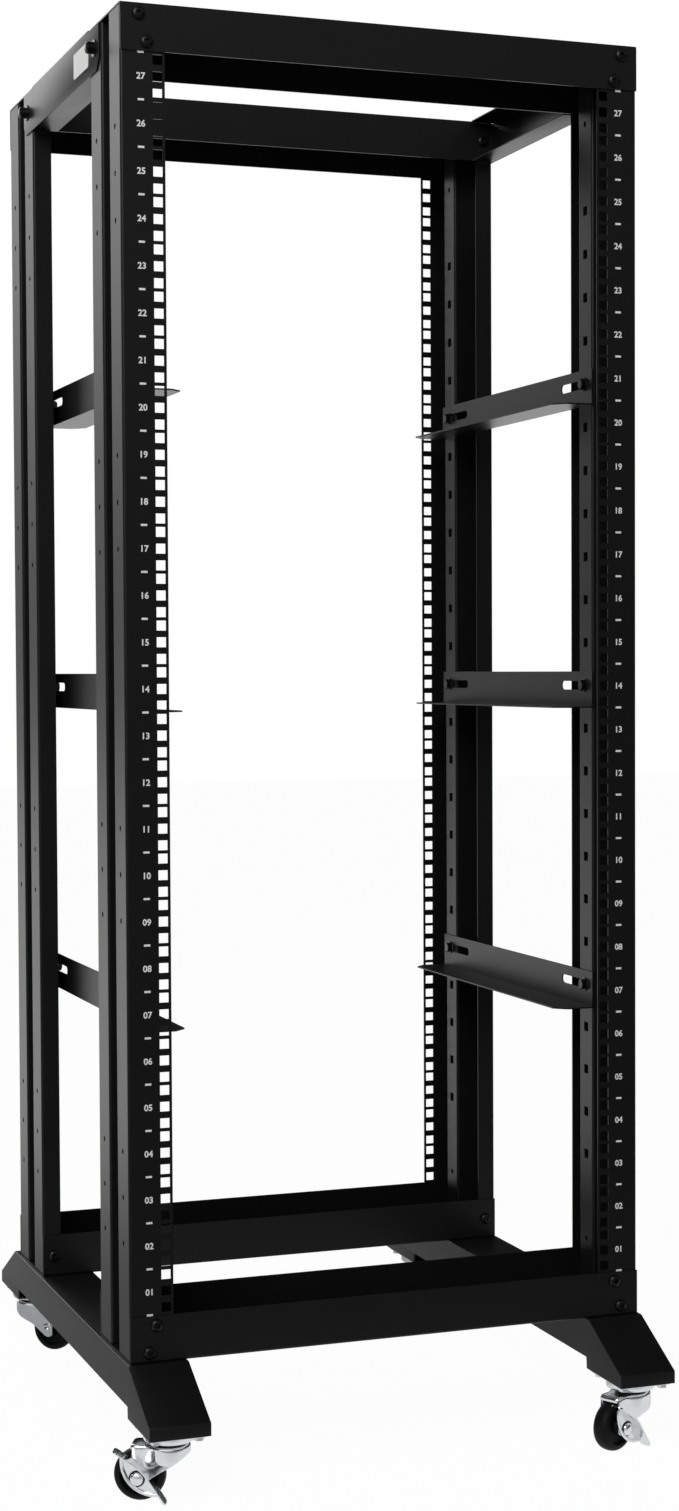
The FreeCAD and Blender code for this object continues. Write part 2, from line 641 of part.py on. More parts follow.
def make_axle(label, outer):
    """The wheel's axle: a domed head outside one cheek and a domed nut outside what the other end carries."""
    body = new_body(label)
    section = new_sketch(body, "XY_Plane", ("trail", 0, "wheel_radius"))
    pointed_outline(section, [
        ("0", "-(fork_half) - cap_height"),
        ("cap_radius / 2", "-(fork_half) - cap_height"),
        ("cap_radius", "-(fork_half) - cap_height / 2"),
        ("cap_radius", "-(fork_half)"),
        ("axle_radius", "-(fork_half)"),
        ("axle_radius", outer),
        ("cap_radius", outer),
        ("cap_radius", outer + " + cap_height / 2"),
        ("cap_radius / 2", outer + " + cap_height"),
        ("0", outer + " + cap_height"),
    ])
    revolution(body, section)
    return body


def make_wheel(label):
    """A moulded wheel: hub, thinner web and rim with a tread whose edges are rounded in two steps."""
    body = new_body(label)
    section = new_sketch(body, "XY_Plane", ("trail", 0, "wheel_radius"))
    hub = "fork_room / 2 - side_gap"
    edge = "wheel_shoulder * (1 - sqrt(0.5))"
    pointed_outline(section, [
        ("axle_radius + running_gap", "-(" + hub + ")"),
        ("hub_radius", "-(" + hub + ")"),
        ("hub_radius", "-(web_width) / 2"),
        ("rim_inner", "-(web_width) / 2"),
        ("rim_inner", "-(wheel_width) / 2"),
        ("wheel_radius - wheel_shoulder", "-(wheel_width) / 2"),
        ("wheel_radius - " + edge, "-(wheel_width) / 2 + " + edge),
        ("wheel_radius", "-(wheel_width) / 2 + wheel_shoulder"),
        ("wheel_radius", "wheel_width / 2 - wheel_shoulder"),
        ("wheel_radius - " + edge, "wheel_width / 2 - " + edge),
        ("wheel_radius - wheel_shoulder", "wheel_width / 2"),
        ("rim_inner", "wheel_width / 2"),
        ("rim_inner", "web_width / 2"),
        ("hub_radius", "web_width / 2"),
        ("hub_radius", hub),
        ("axle_radius + running_gap", hub),
    ])
    revolution(body, section)
    return body


def make_lever(label):
    """A rocking brake lever: an ear that turns on the axle and a bent tread reaching out to both sides."""
    body = new_body(label)
    low = ("-(lever_reach) * cos(lever_low)", "-(lever_reach) * sin(lever_low)")
    high = ("lever_reach * cos(lever_high)", "lever_reach * sin(lever_high)")
    bend = ("-(lever_rise) * sin((lever_low + lever_high) / 2)", "lever_rise")
    ear = new_sketch(body, "XZ_Plane", ("trail", "wheel_radius", "-(lever_inner)"))
    pointed_outline(ear, [
        (low[0] + " / 2", low[1] + " / 2"),
        ("-(cheek_radius) / 2", "-(cheek_radius)"),
        ("cheek_radius / 2", "-(cheek_radius)"),
        ("cheek_radius", "-(cheek_radius) / 3"),
        (high[0] + " * 2 / 3", high[1] + " * 2 / 3"),
        bend,
    ])
    pad(body, ear, "lever_sheet").Reversed = True
    tread = new_sketch(body, "XZ_Plane", ("trail", "wheel_radius", "-(lever_inner)"))
    pointed_outline(tread, [
        low,
        (low[0] + " + lever_sheet * sin(lever_low)", low[1] + " - lever_sheet * cos(lever_low)"),
        (bend[0] + " + lever_sheet", bend[1] + " - lever_sheet"),
        (high[0] + " + lever_sheet * sin(lever_high)", high[1] + " - lever_sheet * cos(lever_high)"),
        high,
        bend,
    ])
    pad(body, tread, "lever_width").Reversed = True
    bore = new_sketch(body, "XZ_Plane", ("trail", "wheel_radius", 0))
    circle(bore, "0", "0", "axle_radius + running_gap")
    pocket(body, bore, "lever_inner + 2 * lever_sheet")
    return body


pieces = []

post = make_post("post_front_left")
post_right = mirrored("post_front_right", post, (1, 0, 0))
pieces += [post, post_right]
pieces.append(mirrored("post_rear_left", post, (0, 1, 0)))
pieces.append(mirrored("post_rear_right", post_right, (0, 1, 0)))

crossbar = make_crossbar("crossbar_bottom_front")
crossbar_top = mirrored("crossbar_top_front", crossbar, (0, 0, 1), "(foot_top + frame_top) / 2")
pieces += [crossbar, crossbar_top]
pieces.append(mirrored("crossbar_bottom_rear", crossbar, (0, 1, 0)))
pieces.append(mirrored("crossbar_top_rear", crossbar_top, (0, 1, 0)))

for maker, left, right in ((make_side_bar, "side_bar_top_left", "side_bar_top_right"),
                           (make_foot, "foot_left", "foot_right")):
    pieces.append(maker(left))
    pieces.append(mirrored(right, pieces[-1], (1, 0, 0)))

for level in ("lower", "middle", "upper"):
    pieces.append(make_rail("support_rail_left_" + level, "rail_" + level + "_unit"))
    pieces.append(mirrored("support_rail_right_" + level, pieces[-1], (1, 0, 0)))

for corner in ("front_left", "front_right", "rear_left", "rear_right"):
    braked = "front" in corner
    axle_end = "lever_inner + lever_sheet + side_gap" if braked else "fork_half"
    caster = [make_caster_plate("caster_plate_" + corner), make_fork("caster_fork_" + corner),
              make_axle("caster_axle_" + corner, axle_end), make_wheel("caster_wheel_" + corner)]
    if braked:
        caster.append(make_lever("brake_lever_" + corner))
    for piece in caster:
        place_caster(piece, corner)
    pieces += caster

doc.recompute()

faults = [item.Name for item in doc.Objects if "Invalid" in item.State or "Error" in item.State]
if faults:
    raise RuntimeError("these objects failed: " + ", ".join(faults))
for piece in pieces:
    if piece.Shape.isNull() or not piece.Shape.isValid() or piece.Shape.Volume <= 0:
        raise RuntimeError(piece.Label + " has no valid solid")

os.makedirs("parts", exist_ok=True)
for piece in pieces:
    piece.Shape.exportStep("parts/" + piece.Label + ".step")
    print(piece.Label, len(piece.Shape.Solids), round(piece.Shape.Volume))
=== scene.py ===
"""Looks of a four post open frame rack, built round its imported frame.

The frame's axes are X across the rack, Y from its front to its rear and Z up from the floor.
Everything is in metres, and sizes given in millimetres are multiplied by MM. Pieces go where the
frame's own boxes and joints say.
"""

import json
import logging
import math
from dataclasses import dataclass, field
from enum import Enum
from functools import reduce

import bmesh
import bpy
import numpy as np
from bpy.types import Material, Mesh, Node, NodeSocket, NodeTree, Object
from mathutils import Matrix, Vector

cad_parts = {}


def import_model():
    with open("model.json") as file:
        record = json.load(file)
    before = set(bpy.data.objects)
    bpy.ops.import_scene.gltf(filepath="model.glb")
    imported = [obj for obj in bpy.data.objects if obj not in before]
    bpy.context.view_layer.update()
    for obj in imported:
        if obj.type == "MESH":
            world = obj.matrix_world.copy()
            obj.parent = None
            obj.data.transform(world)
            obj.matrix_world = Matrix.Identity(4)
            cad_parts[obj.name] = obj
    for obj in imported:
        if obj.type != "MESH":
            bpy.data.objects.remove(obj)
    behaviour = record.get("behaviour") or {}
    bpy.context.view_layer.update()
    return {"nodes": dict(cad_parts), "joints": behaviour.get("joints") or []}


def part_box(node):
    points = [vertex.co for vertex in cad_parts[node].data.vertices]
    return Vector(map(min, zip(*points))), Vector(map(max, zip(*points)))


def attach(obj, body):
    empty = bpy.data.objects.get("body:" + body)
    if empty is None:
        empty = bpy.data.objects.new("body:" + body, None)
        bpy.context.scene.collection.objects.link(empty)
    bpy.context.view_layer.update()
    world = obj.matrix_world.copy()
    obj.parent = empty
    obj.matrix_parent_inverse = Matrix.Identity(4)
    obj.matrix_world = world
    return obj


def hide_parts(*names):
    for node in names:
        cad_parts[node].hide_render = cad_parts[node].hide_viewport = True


log = logging.getLogger("rack")

MM = 0.001
RACK_UNIT = 44.45 * MM
UNITS = 27
SIDES = {"left": -1, "right": 1}
SHARP_ANGLE = 35.0

# An array of points and a list of faces, each the numbers of its points as seen from outside.
Shape = tuple[np.ndarray, list]
Pair = tuple[float, float]
Place = tuple[float, float, float]
# Rows of radius and height in millimetres, going up the outside of a turned piece.
Profile = tuple[Pair, ...]
# Where a smooth step starts and ends, and its value before and after.
Step = tuple[float, float, float, float]


class Slot(Enum):
    """The record's material slots."""

    COAT = "powder_coat"
    ZINC = "zinc"
    NYLON = "nylon"


# ---- Surfaces ----


def shade(mesh: Mesh, angle: float = SHARP_ANGLE) -> None:
    """Shade a mesh smooth where its faces meet at under an angle in degrees."""
    mesh.shade_smooth()
    mesh.set_sharp_from_angle(angle=math.radians(angle))


def add_piece(name: str, mesh: Mesh, body: str,
              material: Material) -> Object:
    """Put a finished mesh into the scene on a body.

    Args:
        name: the piece's name.
        mesh: its mesh, in the rack's own place.
        body: the body that carries it.
        material: its finish.

    Returns:
        The new object, at the origin and unscaled.
    """
    mesh.materials.clear()
    mesh.materials.append(material)
    piece = bpy.data.objects.new(name, mesh)
    bpy.context.scene.collection.objects.link(piece)
    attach(piece, body)
    return piece


def make_piece(name: str, shape: Shape, body: str, material: Material,
               smooth: bool = True) -> Object:
    """Make a mesh of a shape and put it into the scene on a body.

    Args:
        name: the piece's name.
        shape: its shape, in the rack's own place.
        body: the body that carries it.
        material: its finish.
        smooth: whether its faces are shaded smooth.

    Returns:
        The new object, at the origin and unscaled.
    """
    points, faces = shape
    mesh = bpy.data.meshes.new(name)
    mesh.from_pydata(np.asarray(points, float).reshape(-1, 3).tolist(), [], faces)
    mesh.validate()
    mesh.update()
    if smooth:
        shade(mesh)
    return add_piece(name, mesh, body, material)


def grid_faces(rows: int, columns: int) -> np.ndarray:
    """Number the quads of a grid whose columns close on themselves.

    Args:
        rows: rows of points, from one end of the profile to the other.
        columns: points round each row.

    Returns:
        An array of quads, four point numbers each.
    """
    row, column = np.meshgrid(np.arange(rows - 1), np.arange(columns), indexing="ij")
    ahead = (column + 1) % columns
    quads = np.stack([row * columns + column, row * columns + ahead,
                      (row + 1) * columns + ahead, (row + 1) * columns + column], axis=-1)
    return quads.reshape(-1, 4)


def tube_faces(rows: int, columns: int) -> list:
    """The faces of a grid whose columns close on themselves, with a flat face over each end.

    Args:
        rows: rows of points.
        columns: points round each row.

    Returns:
        Rows of point numbers.
    """
    last = (rows - 1) * columns
    ends = [list(range(columns))[::-1], list(range(last, last + columns))]
    return grid_faces(rows, columns).tolist() + ends


def circle(radius: float, angles: np.ndarray) -> np.ndarray:
    """Points on a circle: radius (cos t, sin t) for each angle t."""
    return radius * np.stack([np.cos(angles), np.sin(angles)], axis=-1)


def rectangle(half_width: float, half_height: float) -> np.ndarray:
    """The corners of a rectangle about the origin, anticlockwise."""
    return np.array([(-1, -1), (1, -1), (1, 1), (-1, 1)]) * (half_width, half_height)


def pulled(outline: np.ndarray, heights: list, scales: list) -> Shape:
    """Carry an outline up Z: point (s x, s y, h) for each height h with its scale s.

    Args:
        outline: rows of x and y, anticlockwise.
        heights: the height of each copy.
        scales: the size of each copy.

    Returns:
        The shape, with a flat face over each end.
    """
    flat = np.asarray(scales, float)[:, None, None] * outline[None]
    tall = np.broadcast_to(np.asarray(heights, float)[:, None, None], (*flat.shape[:2], 1))
    return np.concatenate([flat, tall], axis=-1).reshape(-1, 3), tube_faces(*flat.shape[:2])


def turned(profile: np.ndarray, steps: int) -> Shape:
    """A lathe's surface: point (r cos t, r sin t, h) for each point (r, h) and each angle t.

    Args:
        profile: rows of radius and height, going up the outside.
        steps: angles round the axis.

    Returns:
        The shape, with its axis on Z and a flat face over each end.
    """
    radii, heights = np.asarray(profile, float).T
    return pulled(circle(1, np.linspace(0, 2 * math.pi, steps, endpoint=False)), heights, radii)


def in_mm(profile: Profile, lift: float = 0.0) -> np.ndarray:
    """Take a profile from millimetres to metres, and lift it by a height."""
    return np.array(profile) * MM + (0, lift)


def copies(shape: Shape, places: list[np.ndarray]) -> Shape:
    """Repeat a shape: each point p becomes M p for each place's matrix M.

    Args:
        shape: the shape.
        places: 4 by 4 matrices.

    Returns:
        All copies as one shape.
    """
    points, faces = shape
    flat = np.concatenate([points, np.ones((len(points), 1))], axis=1)
    moved = np.einsum("kij,nj->kni", np.stack(places), flat)[..., :3].reshape(-1, 3)
    return moved, [[corner + index * len(points) for corner in face]
                   for index in range(len(places)) for face in faces]


def joined(shapes: list[Shape]) -> Shape:
    """Put shapes into one: their points one after another, with the faces numbered on.

    Args:
        shapes: the shapes.

    Returns:
        The one shape.
    """
    starts = np.cumsum([0] + [len(points) for points, _ in shapes])
    faces = [[corner + int(start) for corner in face]
             for (_, rows), start in zip(shapes, starts) for face in rows]
    return np.concatenate([points for points, _ in shapes]), faces


def facing(direction: Place, at: Place,
           turn: float = 0.0) -> np.ndarray:
    """A matrix that stands local Z along a direction at a place, after a turn round it.

    Args:
        direction: where local Z goes.
        at: where the origin goes.
        turn: angle about local Z first, in radians.

    Returns:
        The 4 by 4 matrix.
    """
    axis = Vector(direction).normalized()
    side = Vector((0, 0, 1)) if abs(axis.z) < 0.9 else Vector((0, 1, 0))
    across = side.cross(axis).normalized()
    basis = Matrix((across, axis.cross(across), axis)).transposed().to_4x4()
    return np.array(Matrix.Translation(at) @ basis @ Matrix.Rotation(turn, 4, "Z"))


def rounded(corners: np.ndarray, reach: float, count: int, closed: bool) -> np.ndarray:
    """Round a line's corners: each evenly spaced point is the mean of the line within reach of it.

    Args:
        corners: rows of coordinates.
        reach: how far to both sides the mean is taken, which is less near an open line's ends.
        count: points on the new line.
        closed: whether the line is a loop.

    Returns:
        The new line's points.
    """
    line = np.concatenate([corners, corners[:1]]) if closed else corners
    along = np.concatenate([[0], np.cumsum(np.linalg.norm(np.diff(line, axis=0), axis=1))])
    even = np.linspace(0, along[-1], count, endpoint=not closed)
    half = np.full(count, reach)
    if not closed:
        half = np.minimum(half, np.minimum(even, along[-1] - even))
    spots = even[:, None] + half[:, None] * np.linspace(-1, 1, 15)
    spots = spots % along[-1] if closed else spots
    return np.stack([np.interp(spots, along, values).mean(axis=1) for values in line.T], axis=-1)


def eased(value: np.ndarray) -> np.ndarray:
    """Run smoothly from 0 to 1: 3 v squared less 2 v cubed, with v held between 0 and 1."""
    share = np.clip(value, 0, 1)
    return share * share * (3 - 2 * share)


def spots_along(line: np.ndarray, shares: np.ndarray) -> np.ndarray:
    """Points of an evenly spaced line at shares of its length, from 0 to 1."""
    along = np.linspace(0, 1, len(line))
    return np.stack([np.interp(shares, along, values) for values in line.T], axis=-1)


def compact(points: np.ndarray, faces: np.ndarray) -> Shape:
    """Drop the points that no face uses, and number the rest again."""
    used, numbers = np.unique(faces, return_inverse=True)
    return points.reshape(-1, 3)[used], numbers.reshape(faces.shape).tolist()


def thicken(piece: Object, thickness: float, edge: float = 0.5 * MM) -> None:
    """Give a sheet its thickness inwards and round its cut edges.

    Args:
        piece: the sheet.
        thickness: of the sheet.
        edge: width of the rounding.
    """
    wall = piece.modifiers.new("wall", "SOLIDIFY")
    wall.thickness = thickness
    wall.offset = -1
    rim = piece.modifiers.new("rim", "BEVEL")
    rim.width = edge
    rim.segments = 2
    rim.limit_method = "ANGLE"
    rim.angle_limit = math.radians(50)


def button_head(radius: float, height: float, key: float) -> Shape:
    """A button-head bolt's head: an elliptic dome on a short straight side, with a hexagon socket.

    The dome is r = rim + (R - rim) cos a and z = s + (h - s) sin a, with s the straight side.

    Args:
        radius: of the head.
        height: of the head.
        key: across the flats of the socket.

    Returns:
        The shape, standing on the origin along Z.
    """
    steps, rim = 24, 0.66 * key
    straight, socket_floor = 0.2 * height, 0.4 * height
    turn = np.arange(steps) * 2 * math.pi / steps
    socket = key / 2 / np.cos((turn + math.pi / 6) % (math.pi / 3) - math.pi / 6)
    arc = np.linspace(0, math.pi / 2, 6)
    outer = np.concatenate([[radius], rim + (radius - rim) * np.cos(arc)])
    dome = straight + (height - straight) * np.sin(arc)
    heights = np.concatenate([[0], dome, [height, socket_floor]])
    radii = np.concatenate([np.repeat(outer[:, None], steps, axis=1), [socket, socket]])
    places = np.concatenate([radii[..., None] * circle(1, turn),
                             np.broadcast_to(heights[:, None, None], (*radii.shape, 1))], axis=-1)
    return places.reshape(-1, 3), tube_faces(*radii.shape)


def hex_head(across: float, height: float, washer: float) -> Shape:
    """A hexagon head on a round washer, both with a broken upper edge, on the origin along Z.

    Args:
        across: the flats of the hexagon.
        height: of the hexagon.
        washer: the washer's radius.

    Returns:
        The shape.
    """
    thin = 0.3 * height
    plate = turned([(washer, 0), (washer, 0.8 * thin), (0.96 * washer, thin)], steps=24)
    outline = circle(across / math.sqrt(3), np.arange(6) * math.pi / 3)
    head = pulled(outline, [thin, thin + 0.85 * height, thin + height], [1, 1, 0.86])
    return joined([plate, head])


# ---- Finishes ----


def linear(hex_colour: str) -> tuple[float, float, float, float]:
    """Turn an sRGB hex value, such as #131314, into linear red, green, blue and an alpha of 1."""
    shares = [int(hex_colour[start:start + 2], 16) / 255 for start in (1, 3, 5)]
    light = [share / 12.92 if share <= 0.04045 else ((share + 0.055) / 1.055) ** 2.4
             for share in shares]
    return (*light, 1.0)


def add_node(tree: NodeTree, kind: str, settings: dict | None = None,
             links: dict | None = None) -> Node:
    """Add a node to a tree, with its settings and its links.

    Args:
        tree: the material's or world's node tree.
        kind: the node's type.
        settings: values by property name or by input name or number.
        links: the sockets that feed its inputs, by input name or number.

    Returns:
        The node.
    """
    node = tree.nodes.new(kind)
    for name, value in (settings or {}).items():
        if isinstance(name, str) and hasattr(node, name):
            setattr(node, name, value)
        else:
            node.inputs[name].default_value = value
    for name, source in (links or {}).items():
        tree.links.new(source, node.inputs[name])
    return node


class Surface:
    """A material in the making: its shader, and patterns on its Object coordinates that vary it."""

    def __init__(self, name: str, settings: dict) -> None:
        """Start a material whose shader has these settings."""
        self.material = bpy.data.materials.new(name)
        self.material.use_nodes = True
        self.tree = self.material.node_tree
        self.tree.nodes.clear()
        self.shader = add_node(self.tree, "ShaderNodeBsdfPrincipled", settings)
        self.output = add_node(self.tree, "ShaderNodeOutputMaterial",
                               links={"Surface": self.shader.outputs["BSDF"]})
        self.where = add_node(self.tree, "ShaderNodeTexCoord").outputs["Object"]

    def tint(self, tones: tuple[str, str], size: float, detail: float) -> NodeSocket:
        """Let the base colour run between two tones, in clouds.

        Args:
            tones: two hex values.
            size: across a cloud.
            detail: how many finer rounds of clouds lie in it.

        Returns:
            The clouds, from 0 to 1.
        """
        cloud = add_node(self.tree, "ShaderNodeTexNoise", {"Scale": 1 / size, "Detail": detail},
                         {"Vector": self.where})
        mix = add_node(self.tree, "ShaderNodeMix",
                       {"data_type": "RGBA", 6: linear(tones[0]), 7: linear(tones[1])},
                       {0: cloud.outputs[0]})
        self.tree.links.new(mix.outputs[2], self.shader.inputs["Base Color"])
        return cloud.outputs[0]

    def gloss(self, roughness: Pair, grain: float = MM, lumpy: float = 0.5,
              pattern: NodeSocket | None = None) -> NodeSocket:
        """Let the roughness run between two values, after a grain or another pattern.

        Args:
            roughness: its two values.
            grain: size across a grain.
            lumpy: how strong the grain's finer lumps are.
            pattern: what it follows in place of a grain.

        Returns:
            The pattern, from 0 to 1.
        """
        if pattern is None:
            noise = add_node(self.tree, "ShaderNodeTexNoise",
                             {"Scale": 1 / grain, "Detail": 2.0, "Roughness": lumpy},
                             {"Vector": self.where})
            pattern = noise.outputs[0]
        spread = add_node(self.tree, "ShaderNodeMapRange",
                          {"To Min": roughness[0], "To Max": roughness[1]}, {"Value": pattern})
        self.tree.links.new(spread.outputs[0], self.shader.inputs["Roughness"])
        return pattern


@dataclass(frozen=True)
class PowderCoat:
    """Black polyester powder coat, baked on folded steel: satin, with a fine grain."""

    tones: tuple[str, str] = ("#131314", "#18181a")
    cloud: float = 60 * MM
    grain: float = 0.9 * MM
    lift: float = 0.012 * MM
    roughness: Pair = (0.31, 0.43)
    specular: float = 0.22

    def make(self) -> Material:
        """Build the coat: a faint change of tone, a fine grain and a little uneven gloss."""
        coat = Surface("powder_coat_black_satin", {"Specular IOR Level": self.specular})
        coat.tint(self.tones, self.cloud, detail=3.0)
        grain = coat.gloss(self.roughness, self.grain, lumpy=0.6)
        bump = add_node(coat.tree, "ShaderNodeBump", {"Strength": 0.5, "Distance": self.lift},
                        {"Height": grain})
        coat.tree.links.new(bump.outputs[0], coat.shader.inputs["Normal"])
        return coat.material


@dataclass(frozen=True)
class ZincPlate:
    """Bright zinc electroplate on pressed steel: a cool silver with a soft, cloudy shine."""

    tones: tuple[str, str] = ("#d3d5d8", "#e9eaec")
    cloud: float = 9 * MM
    marks: float = 1.2 * MM
    roughness: Pair = (0.12, 0.25)

    def make(self) -> Material:
        """Build the plating: clouds of duller and brighter metal with fine pressing marks."""
        plate = Surface("zinc_plate_bright", {"Metallic": 1.0})
        plate.tint(self.tones, self.cloud, detail=4.0)
        plate.gloss(self.roughness, self.marks)
        return plate.material


@dataclass(frozen=True)
class MouldedNylon:
    """Black moulded nylon of the wheels: very dark and dull, with faint scuffs."""

    tones: tuple[str, str] = ("#0b0b0c", "#131314")
    scuff: float = 7 * MM
    roughness: Pair = (0.44, 0.62)
    specular: float = 0.12

    def make(self) -> Material:
        """Build the nylon, paler and duller where it is scuffed."""
        nylon = Surface("nylon_black_moulded", {"Specular IOR Level": self.specular})
        scuffs = nylon.tint(self.tones, self.scuff, detail=5.0)
        nylon.gloss(self.roughness, pattern=scuffs)
        return nylon.material


# The same black also paints shade: the ring round the axle's dome and the core under the race's
# cup.
@dataclass(frozen=True)
class BlackScrewAndShade:
    """Black passivated steel of the bolts, near black and shinier than the coat round it, also used
    as painted shade in two gaps.
    """

    colour: str = "#101011"
    metallic: float = 0.4
    grain: float = 0.8 * MM
    roughness: Pair = (0.25, 0.42)

    def make(self) -> Material:
        """Build the passivated steel, with a fine drawn grain in its gloss."""
        screw = Surface("screw_black_and_painted_shade",
                        {"Base Color": linear(self.colour), "Metallic": self.metallic})
        screw.gloss(self.roughness, self.grain)
        return screw.material


@dataclass(frozen=True)
class PrintInk:
    """White screen-printing ink, laid thinly over the coat: flat and faintly uneven."""

    tones: tuple[str, str] = ("#fafafa", "#d9d9d7")
    patch: float = 3 * MM
    roughness: float = 0.6

    def make(self) -> Material:
        """Build the ink, a little thinner in patches."""
        ink = Surface("ink_white_screen_print", {"Roughness": self.roughness})
        ink.tint(self.tones, self.patch, detail=2.0)
        return ink.material


@dataclass(frozen=True)
class LabelFilm:
    """Plain white vinyl label film: smooth, with a slight sheen."""

    tones: tuple[str, str] = ("#f4f4f3", "#e6e6e4")
    mottle: float = 5 * MM
    roughness: float = 0.45

    def make(self) -> Material:
        """Build the film, with a very faint mottle where it lies over the coat's grain."""
        film = Surface("vinyl_label_white", {"Roughness": self.roughness})
        film.tint(self.tones, self.mottle, detail=3.0)
        return film.material


@dataclass(frozen=True)
class Finishes:
    """Every finish of the rack, made once."""

    coat: Material = field(default_factory=PowderCoat().make)
    zinc: Material = field(default_factory=ZincPlate().make)
    nylon: Material = field(default_factory=MouldedNylon().make)
    screw: Material = field(default_factory=BlackScrewAndShade().make)
    ink: Material = field(default_factory=PrintInk().make)
    label: Material = field(default_factory=LabelFilm().make)


# ---- The rack ----


@dataclass
class SheetMetal:
    """The frame's own nodes, which keep their solids and get their finish."""

    nodes: dict[str, Object]
    finishes: Finishes

    def dress(self) -> None:
        """Coat the frame, plate the casters' pressings and mould their wheels."""
        for name, node in self.nodes.items():
            material = self.finishes.coat
            if name.startswith("caster_wheel"):
                material = self.finishes.nylon
            elif name.startswith(("caster_", "brake_")):
                material = self.finishes.zinc
            node.data.materials.clear()
            node.data.materials.append(material)
        log.info("dressed %d frame nodes", len(self.nodes))


@dataclass
class UnitPrint:
    """White marks on the front flanges: a dash between units and a number beside each unit."""

    finishes: Finishes
    dash_width: float = 6.2 * MM
    dash_height: float = 2.0 * MM
    ink_thickness: float = 0.15 * MM
    from_middle: float = 249.0 * MM
    digit_height: float = 6.0 * MM
    digit_share: float = 0.7
    digit_swell: float = 0.035
    face: float = field(init=False)
    first_unit: float = field(init=False)

    def __post_init__(self) -> None:
        """Find the flanges' face and the bottom of the first unit."""
        self.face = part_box("post_front_left")[0].y
        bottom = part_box("crossbar_bottom_front")[1].z
        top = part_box("crossbar_top_front")[0].z
        self.first_unit = (bottom + top - UNITS * RACK_UNIT) / 2

    def dashes(self, side: str) -> None:
        """Dashes at every unit's boundary on one post: a thin box repeated a unit apart.

        Args:
            side: the post's side.
        """
        outline = rectangle(self.dash_width / 2, self.dash_height / 2)
        dash = pulled(outline, [0, self.ink_thickness], [1, 1])
        across = SIDES[side] * self.from_middle
        places = [facing((0, -1, 0), (across, self.face, self.first_unit + unit * RACK_UNIT))
                  for unit in range(UNITS + 1)]
        make_piece("unit_dashes_" + side, copies(dash, places), "frame",
                   self.finishes.ink, smooth=False)

    def numbers(self, side: str) -> None:
        """Numbers 01 to 27 on one post: one line of text a unit, with slightly swollen strokes.

        Args:
            side: the post's side.
        """
        name = "unit_numbers_" + side
        text = bpy.data.curves.new(name, "FONT")
        text.body = "\n".join(f"{unit:02d}" for unit in range(UNITS, 0, -1))
        text.align_x = "CENTER"
        text.size = self.digit_height / self.digit_share
        text.space_line = RACK_UNIT / text.size
        text.offset = self.digit_swell * self.digit_height
        text.extrude = self.ink_thickness / 2
        text.resolution_u = 3
        flat = bpy.data.objects.new(name + "_flat", text)
        bpy.context.scene.collection.objects.link(flat)
        bpy.context.view_layer.update()
        mesh = bpy.data.meshes.new_from_object(
            flat.evaluated_get(bpy.context.evaluated_depsgraph_get()))
        bpy.data.objects.remove(flat)
        mesh.name = name
        top_line = self.first_unit + (UNITS - 0.5) * RACK_UNIT - self.digit_height / 2
        place = Matrix.Translation((SIDES[side] * self.from_middle,
                                    self.face - self.ink_thickness / 2, top_line))
        mesh.transform(place @ Matrix.Rotation(math.pi / 2, 4, "X"))
        add_piece(name, mesh, "frame", self.finishes.ink)

    def build(self) -> None:
        """Print both front posts."""
        for side in SIDES:
            self.dashes(side)
            self.numbers(side)
        log.info("printed %d units on both front posts", UNITS)


@dataclass
class FoldedSheet:
    """Copies of plain sheet pieces with the rounded edges that folding leaves on them."""

    nodes: dict[str, Object]
    finishes: Finishes
    foot_edge: float = 2.2 * MM
    bar_edge: float = 0.35 * MM
    weld: float = 0.01 * MM
    flat_angle: float = 1.0
    fold_angle: float = 15.0
    smooth_angle: float = 32.0

    def soften(self, name: str, width: float, folds_only: bool) -> None:
        """Stand a copy with rounded outer edges in for a node.

        Args:
            name: the node.
            width: of the rounding.
            folds_only: whether edges at a face that looks down stay sharp, as cut sheet does.
        """
        mesh = self.nodes[name].data.copy()
        mesh.name = name + "_folded"
        shape = bmesh.new()
        shape.from_mesh(mesh)
        bmesh.ops.remove_doubles(shape, verts=shape.verts, dist=self.weld)
        bmesh.ops.dissolve_limit(shape, angle_limit=math.radians(self.flat_angle),
                                 verts=shape.verts, edges=shape.edges)
        edges = [edge for edge in shape.edges if edge.is_manifold
                 and edge.calc_face_angle_signed() > math.radians(self.fold_angle)
                 and not (folds_only and any(face.normal.z < -0.5 for face in edge.link_faces))]
        bmesh.ops.bevel(shape, geom=edges, offset=width, segments=3, profile=0.5,
                        affect="EDGES", clamp_overlap=True)
        shape.to_mesh(mesh)
        shape.free()
        shade(mesh, self.smooth_angle)
        piece = add_piece(mesh.name, mesh, "frame", self.finishes.coat)
        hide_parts(name)

    def build(self) -> None:
        """Soften both feet and both top side bars."""
        for side in SIDES:
            self.soften("foot_" + side, self.foot_edge, folds_only=True)
            self.soften("side_bar_top_" + side, self.bar_edge, folds_only=False)
        log.info("rounded the folds of the feet and the top side bars")


